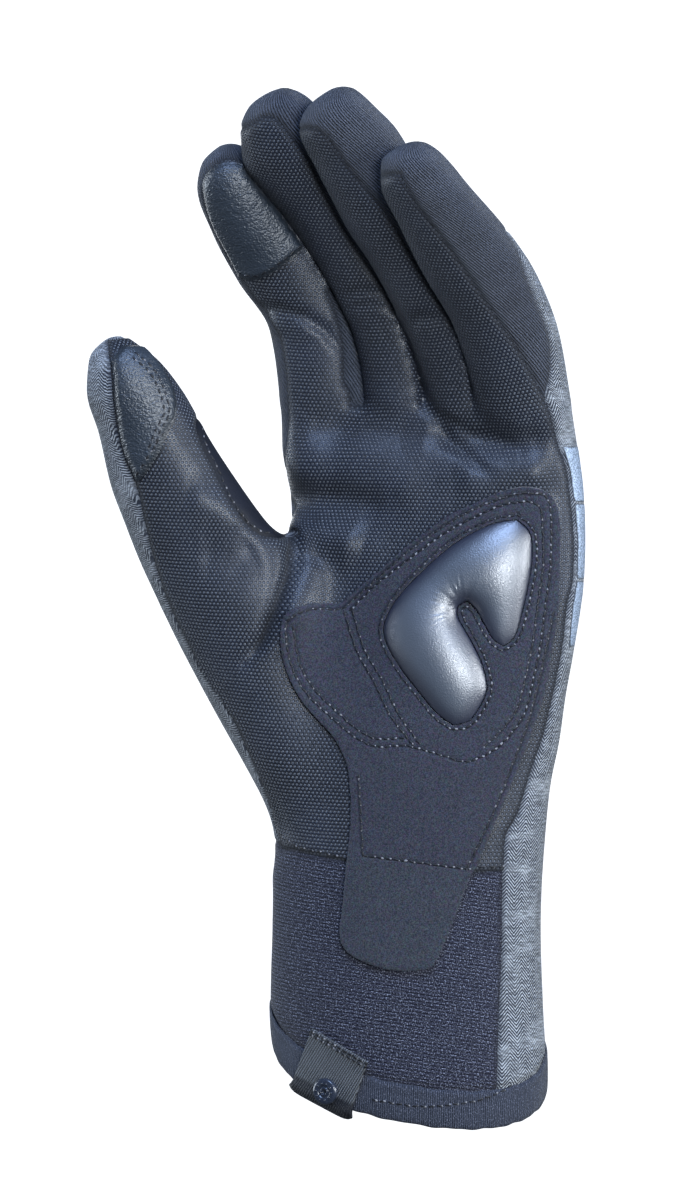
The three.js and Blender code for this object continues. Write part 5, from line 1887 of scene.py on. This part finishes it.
class GLOVE_OT_tab(bpy.types.Operator):
    """Builds the loop of webbing over the hem"""

    bl_idname = "glove.tab"
    bl_label = "Pull tab"

    def execute(self, context):
        top_left, top_right, low_left, low_right = (np.array(c, float) for c in TAB_CORNERS)
        across, rows, inner, bulge = np.linspace(0, 1, 22), [], -WALL - 3.2, 2.4
        for s in across:
            top, low = top_left + (top_right - top_left) * s, low_left + (low_right - low_left) * s
            front = [over(top + (low - top) * t, TAB_LIFT) for t in np.linspace(0, 1, 30)]
            back = [over(top + (low - top) * t, inner) for t in np.linspace(1, 0.1, 24)]
            edge_out, edge_in = front[-1], back[0]
            middle, reach = (edge_out + edge_in) / 2, (edge_in - edge_out) / 2
            down = np.array([(low - top)[0], 0, (low - top)[1]])
            # The fold is rounded off towards the webbing's edges.
            down = down / np.linalg.norm(down) * bulge * (1 - 0.45 * abs(2 * s - 1) ** 10)
            wider = (top_right - top_left) / np.linalg.norm(top_right - top_left) * (2 * s - 1) * 0.5
            wider = np.array([wider[0], 0, wider[1]])
            turn = [middle - reach * math.cos(a) + (down + wider) * math.sin(a)
                    for a in np.linspace(0, math.pi, 14)[1:-1]]
            rows.append([*front, *turn, *back])
        rows = np.array(rows)
        wide, long = rows.shape[:2]
        i, j = np.meshgrid(np.arange(wide - 1), np.arange(long - 1), indexing="ij")
        a = i * long + j
        faces = np.stack([a, a + 1, a + long + 1, a + long], axis=2).reshape(-1, 4)
        mesh = mesh_of("pull_tab_loop", rows.reshape(-1, 3), faces)
        piece = placed(mesh)
        mesh.materials.append(finishes()["webbing"])
        width, length = 17, lengths(rows[wide // 2])
        add_uv(mesh, np.stack([np.repeat(across * width, long), np.tile(length, wide)], axis=1))
        applied(piece, "SOLIDIFY", thickness=TAB_THICK * MM, offset=1.0, use_even_offset=True)
        applied(piece, "BEVEL", width=0.0003, segments=2, limit_method="ANGLE", angle_limit=math.radians(50))
        finish(piece, ["pull_tab"])
        STORE["pull_tab"] = piece
        return {"FINISHED"}


class GLOVE_OT_stud(bpy.types.Operator):
    """Builds the press stud on the tab"""

    bl_idname = "glove.stud"
    bl_label = "Press stud"

    def execute(self, context):
        radius, thick, dot_ring, dot_height = 3.6 * MM, 0.7 * MM, 2.3 * MM, 1.36 * MM
        bpy.ops.object.select_all(action="DESELECT")
        bpy.ops.mesh.primitive_cylinder_add(
            vertices=64, radius=radius, depth=thick, location=(0, 0, thick / 2))
        piece = context.object
        piece.name = piece.data.name = "snap_button_cap"
        self.shape_cap(piece)
        applied(piece, "BEVEL", width=0.00013, segments=3, limit_method="ANGLE", angle_limit=math.radians(28))
        dots = []
        for k in range(10):
            a = 2 * math.pi * k / 10
            bpy.ops.mesh.primitive_uv_sphere_add(
                segments=12, ring_count=6, radius=0.27 * MM,
                location=(dot_ring * math.cos(a), dot_ring * math.sin(a), dot_height))
            dots.append(context.object)
        bpy.ops.object.select_all(action="DESELECT")
        for dot in dots:
            dot.select_set(True)
        piece.select_set(True)
        context.view_layer.objects.active = piece
        bpy.ops.object.join()
        x, z = STUD
        depth = TAB_LIFT + TAB_THICK
        centre = Vector(over((x, z), depth))
        side = Vector(over((x + 1, z), depth)) - Vector(over((x - 1, z), depth))
        up = Vector(over((x, z + 1), depth)) - Vector(over((x, z - 1), depth))
        out = side.cross(up).normalized()
        if out.y > 0:
            out = -out
        turn = Vector((0, 0, 1)).rotation_difference(out).to_matrix().to_4x4()
        piece.data.transform(Matrix.Translation((centre + out * 0.15) * MM) @ turn)
        piece.matrix_world = Matrix.Identity(4)
        piece.data.materials.clear()
        piece.data.materials.append(finishes()["plastic"])
        finish(piece, ["snap_button"], 35)
        return {"FINISHED"}

    @staticmethod
    def shape_cap(piece):
        """Rims, a ring-shaped hollow and the raised middle with its hole."""
        active(piece)
        bpy.ops.object.mode_set(mode="EDIT")
        bpy.ops.mesh.select_mode(type="FACE")
        bpy.ops.mesh.select_all(action="DESELECT")
        data = bmesh.from_edit_mesh(piece.data)
        top = max(data.faces, key=lambda face: face.calc_center_median().z)
        top.select = True
        bmesh.update_edit_mesh(piece.data)
        steps = [(0.3, 0.45), (0.5, 0.2), (0.95, 0), (0.25, -0.3), (0.35, 0), (0.15, 0.35)]
        for inset, rise in [*steps, (0.35, 0), (0.1, -0.7)]:
            bpy.ops.mesh.inset(thickness=inset * MM, depth=rise * MM)
        bpy.ops.object.mode_set(mode="OBJECT")


class GLOVE_OT_stitches(bpy.types.Operator):
    """Lays the rows of stitches"""

    bl_idname = "glove.stitches"
    bl_label = "Stitching"

    def execute(self, context):
        heel = ground(STORE["heel_overlay"])
        stitched("heel_stitches", heel, HEEL_ROWS)
        edge = drawn(PAD, 0.5)
        way = np.roll(edge, -1, axis=0) - np.roll(edge, 1, axis=0)
        out = np.stack([way[:, 1], -way[:, 0]], axis=1)
        out /= np.linalg.norm(out, axis=1, keepdims=True)
        area = (edge[:, 0] * np.roll(edge[:, 1], -1) - edge[:, 1] * np.roll(edge[:, 0], -1)).sum()
        ring = edge + out * (PAD_ROW if area > 0 else -PAD_ROW)
        stitched("pad_stitches", heel, [(ring[::4], True)], pitch=1.9, length=1.7)
        for node, rows in SEAM_ROWS.items():
            lines = [(row, False) for row in rows]
            stitched(node + "_stitches", ground(STORE[node]), lines, pitch=2.1, length=1.7)
        lines = [(row, False) for row in TAB_ROWS]
        stitched("tab_stitches", ground(STORE["pull_tab"]), lines, pitch=1.5, length=1.4, width=0.7)
        return {"FINISHED"}


# Where the floor's middle lies, and the lights, each with its place, size, power and tint.
FLOOR = (0, 1.0, -0.2)
LIGHTS = {
    "key": ((0.68, -2.08, 0.4), 0.7, 41, (0.88, 0.94, 1.0)),
    "edge": ((1.95, -1.0, 0.35), 0.9, 36, (0.88, 0.94, 1.0)),
    "sky": ((-0.05, -1.1, 1.65), 0.9, 34, (0.42, 0.6, 1.0)),
    "side": ((-1.8, 0.5, 0.3), 0.9, 26, (0.78, 0.88, 1.0)),
    "back": ((-0.6, 2.3, 0.5), 1.6, 24, (0.88, 0.93, 1.0)),
}


class GLOVE_OT_stage(bpy.types.Operator):
    """Sets the floor, the lights, the world and the camera"""

    bl_idname = "glove.stage"
    bl_label = "Stage"

    def execute(self, context):
        scene = context.scene
        bpy.ops.object.select_all(action="DESELECT")
        bpy.ops.mesh.primitive_plane_add(size=6, location=FLOOR)
        floor = context.object
        floor.name = floor.data.name = "floor"
        bpy.ops.object.mode_set(mode="EDIT")
        bpy.ops.mesh.select_all(action="DESELECT")
        data = bmesh.from_edit_mesh(floor.data)
        for edge in data.edges:
            if all(v.co.y > 2.9 for v in edge.verts):
                edge.select = True
        bmesh.update_edit_mesh(floor.data)
        bpy.ops.mesh.extrude_region_move(TRANSFORM_OT_translate={"value": (0, 0, 4)})
        bpy.ops.mesh.select_all(action="SELECT")
        bpy.ops.mesh.normals_make_consistent(inside=True)
        bpy.ops.object.mode_set(mode="OBJECT")
        floor.location = (0, 0, 0)
        floor.data.transform(Matrix.Translation(FLOOR))
        applied(floor, "BEVEL", width=0.9, segments=16, limit_method="ANGLE", angle_limit=math.radians(30))
        pale, tree = finish_base("pale floor", Specular_IOR_Level=0.1, Roughness=0.9, Emission_Strength=1.0)
        tone = rough_noise(tree, coordinates(tree), 3, 2)
        far = put(tree, "SeparateXYZ", {0: coordinates(tree)}).outputs[1]
        # Painted light: the floor and wall glow, dim near the front and white towards the back, so that the
        # backdrop shows white.
        glow = blend(tree, spread(tree, far, 0.6, 2.2), (0.1, 0.1, 0.1), (1.0, 1.0, 1.0))
        feed(tree, Base_Color=blend(tree, tone, (0.78, 0.78, 0.78), (0.82, 0.82, 0.82)), Emission_Color=glow)
        floor.data.materials.append(pale)
        for polygon in floor.data.polygons:
            polygon.use_smooth = True
        floor.visible_glossy = floor.visible_diffuse = False

        for name, settings in LIGHTS.items():
            self.light(name, *settings)
        world = bpy.data.worlds.new("studio")
        scene.world = world
        world.use_nodes = True
        sky = world.node_tree.nodes["Background"].inputs
        sky["Color"].default_value = (0.72, 0.84, 1.0, 1)
        sky["Strength"].default_value = 0.13

        # At 0.015 m in front of the middle, 0.324 m fill the picture's height.
        distance, near, tall = 3.0, 0.015, 0.324
        camera = bpy.data.cameras.new("camera")
        camera.sensor_fit = "VERTICAL"
        camera.sensor_height = 24
        camera.lens = camera.sensor_height * (distance - near) / tall
        camera.clip_end = 20
        view = bpy.data.objects.new("camera", camera)
        scene.collection.objects.link(view)
        view.location = (-0.0186, -distance, 0.1247)
        view.rotation_euler = (math.pi / 2, 0, 0)
        scene.camera = view
        scene.view_settings.view_transform = "Standard"
        scene.view_settings.look = "None"
        return {"FINISHED"}

    @staticmethod
    def light(name, place, size, power, tint, aim=(0, 0, 0.12)):
        """A square light that points at the glove's middle."""
        data = bpy.data.lights.new(name, "AREA")
        data.size, data.energy, data.color = size, power, tint
        lamp = bpy.data.objects.new(name, data)
        bpy.context.scene.collection.objects.link(lamp)
        lamp.location = place
        lamp.rotation_euler = (Vector(aim) - Vector(place)).to_track_quat("-Z", "Y").to_euler()


class GLOVE_PT_panel(bpy.types.Panel):
    """Lists the glove's pieces"""

    bl_idname = "GLOVE_PT_panel"
    bl_label = "Winter cycling glove"
    bl_space_type = "VIEW_3D"
    bl_region_type = "UI"
    bl_category = "Glove"

    def draw(self, context):
        for group_name in ("glove_sizes", "glove_colours"):
            settings = getattr(context.scene, group_name)
            for name in settings.bl_rna.properties.keys():
                if name not in ("rna_type", "name"):
                    self.layout.prop(settings, name)
        for operator in OPERATORS:
            self.layout.operator(operator.bl_idname)


OPERATORS = (
    GLOVE_OT_stage, GLOVE_OT_palm, GLOVE_OT_thumb, GLOVE_OT_knits, GLOVE_OT_back, GLOVE_OT_cuff,
    GLOVE_OT_heel, GLOVE_OT_pad, GLOVE_OT_patches, GLOVE_OT_reflectors, GLOVE_OT_binding, GLOVE_OT_tab,
    GLOVE_OT_stud, GLOVE_OT_stitches,
)
CLASSES = (GloveSizes, GloveColours, *OPERATORS, GLOVE_PT_panel)


def register():
    for cls in CLASSES:
        bpy.utils.register_class(cls)
    bpy.types.Scene.glove_sizes = PointerProperty(type=GloveSizes)
    bpy.types.Scene.glove_colours = PointerProperty(type=GloveColours)


def unregister():
    del bpy.types.Scene.glove_sizes
    del bpy.types.Scene.glove_colours
    for cls in reversed(CLASSES):
        bpy.utils.unregister_class(cls)


def main():
    register()
    for operator in OPERATORS:
        step = getattr(bpy.ops.glove, operator.bl_idname.split(".")[1])
        step()


if __name__ == "__main__":
    main()
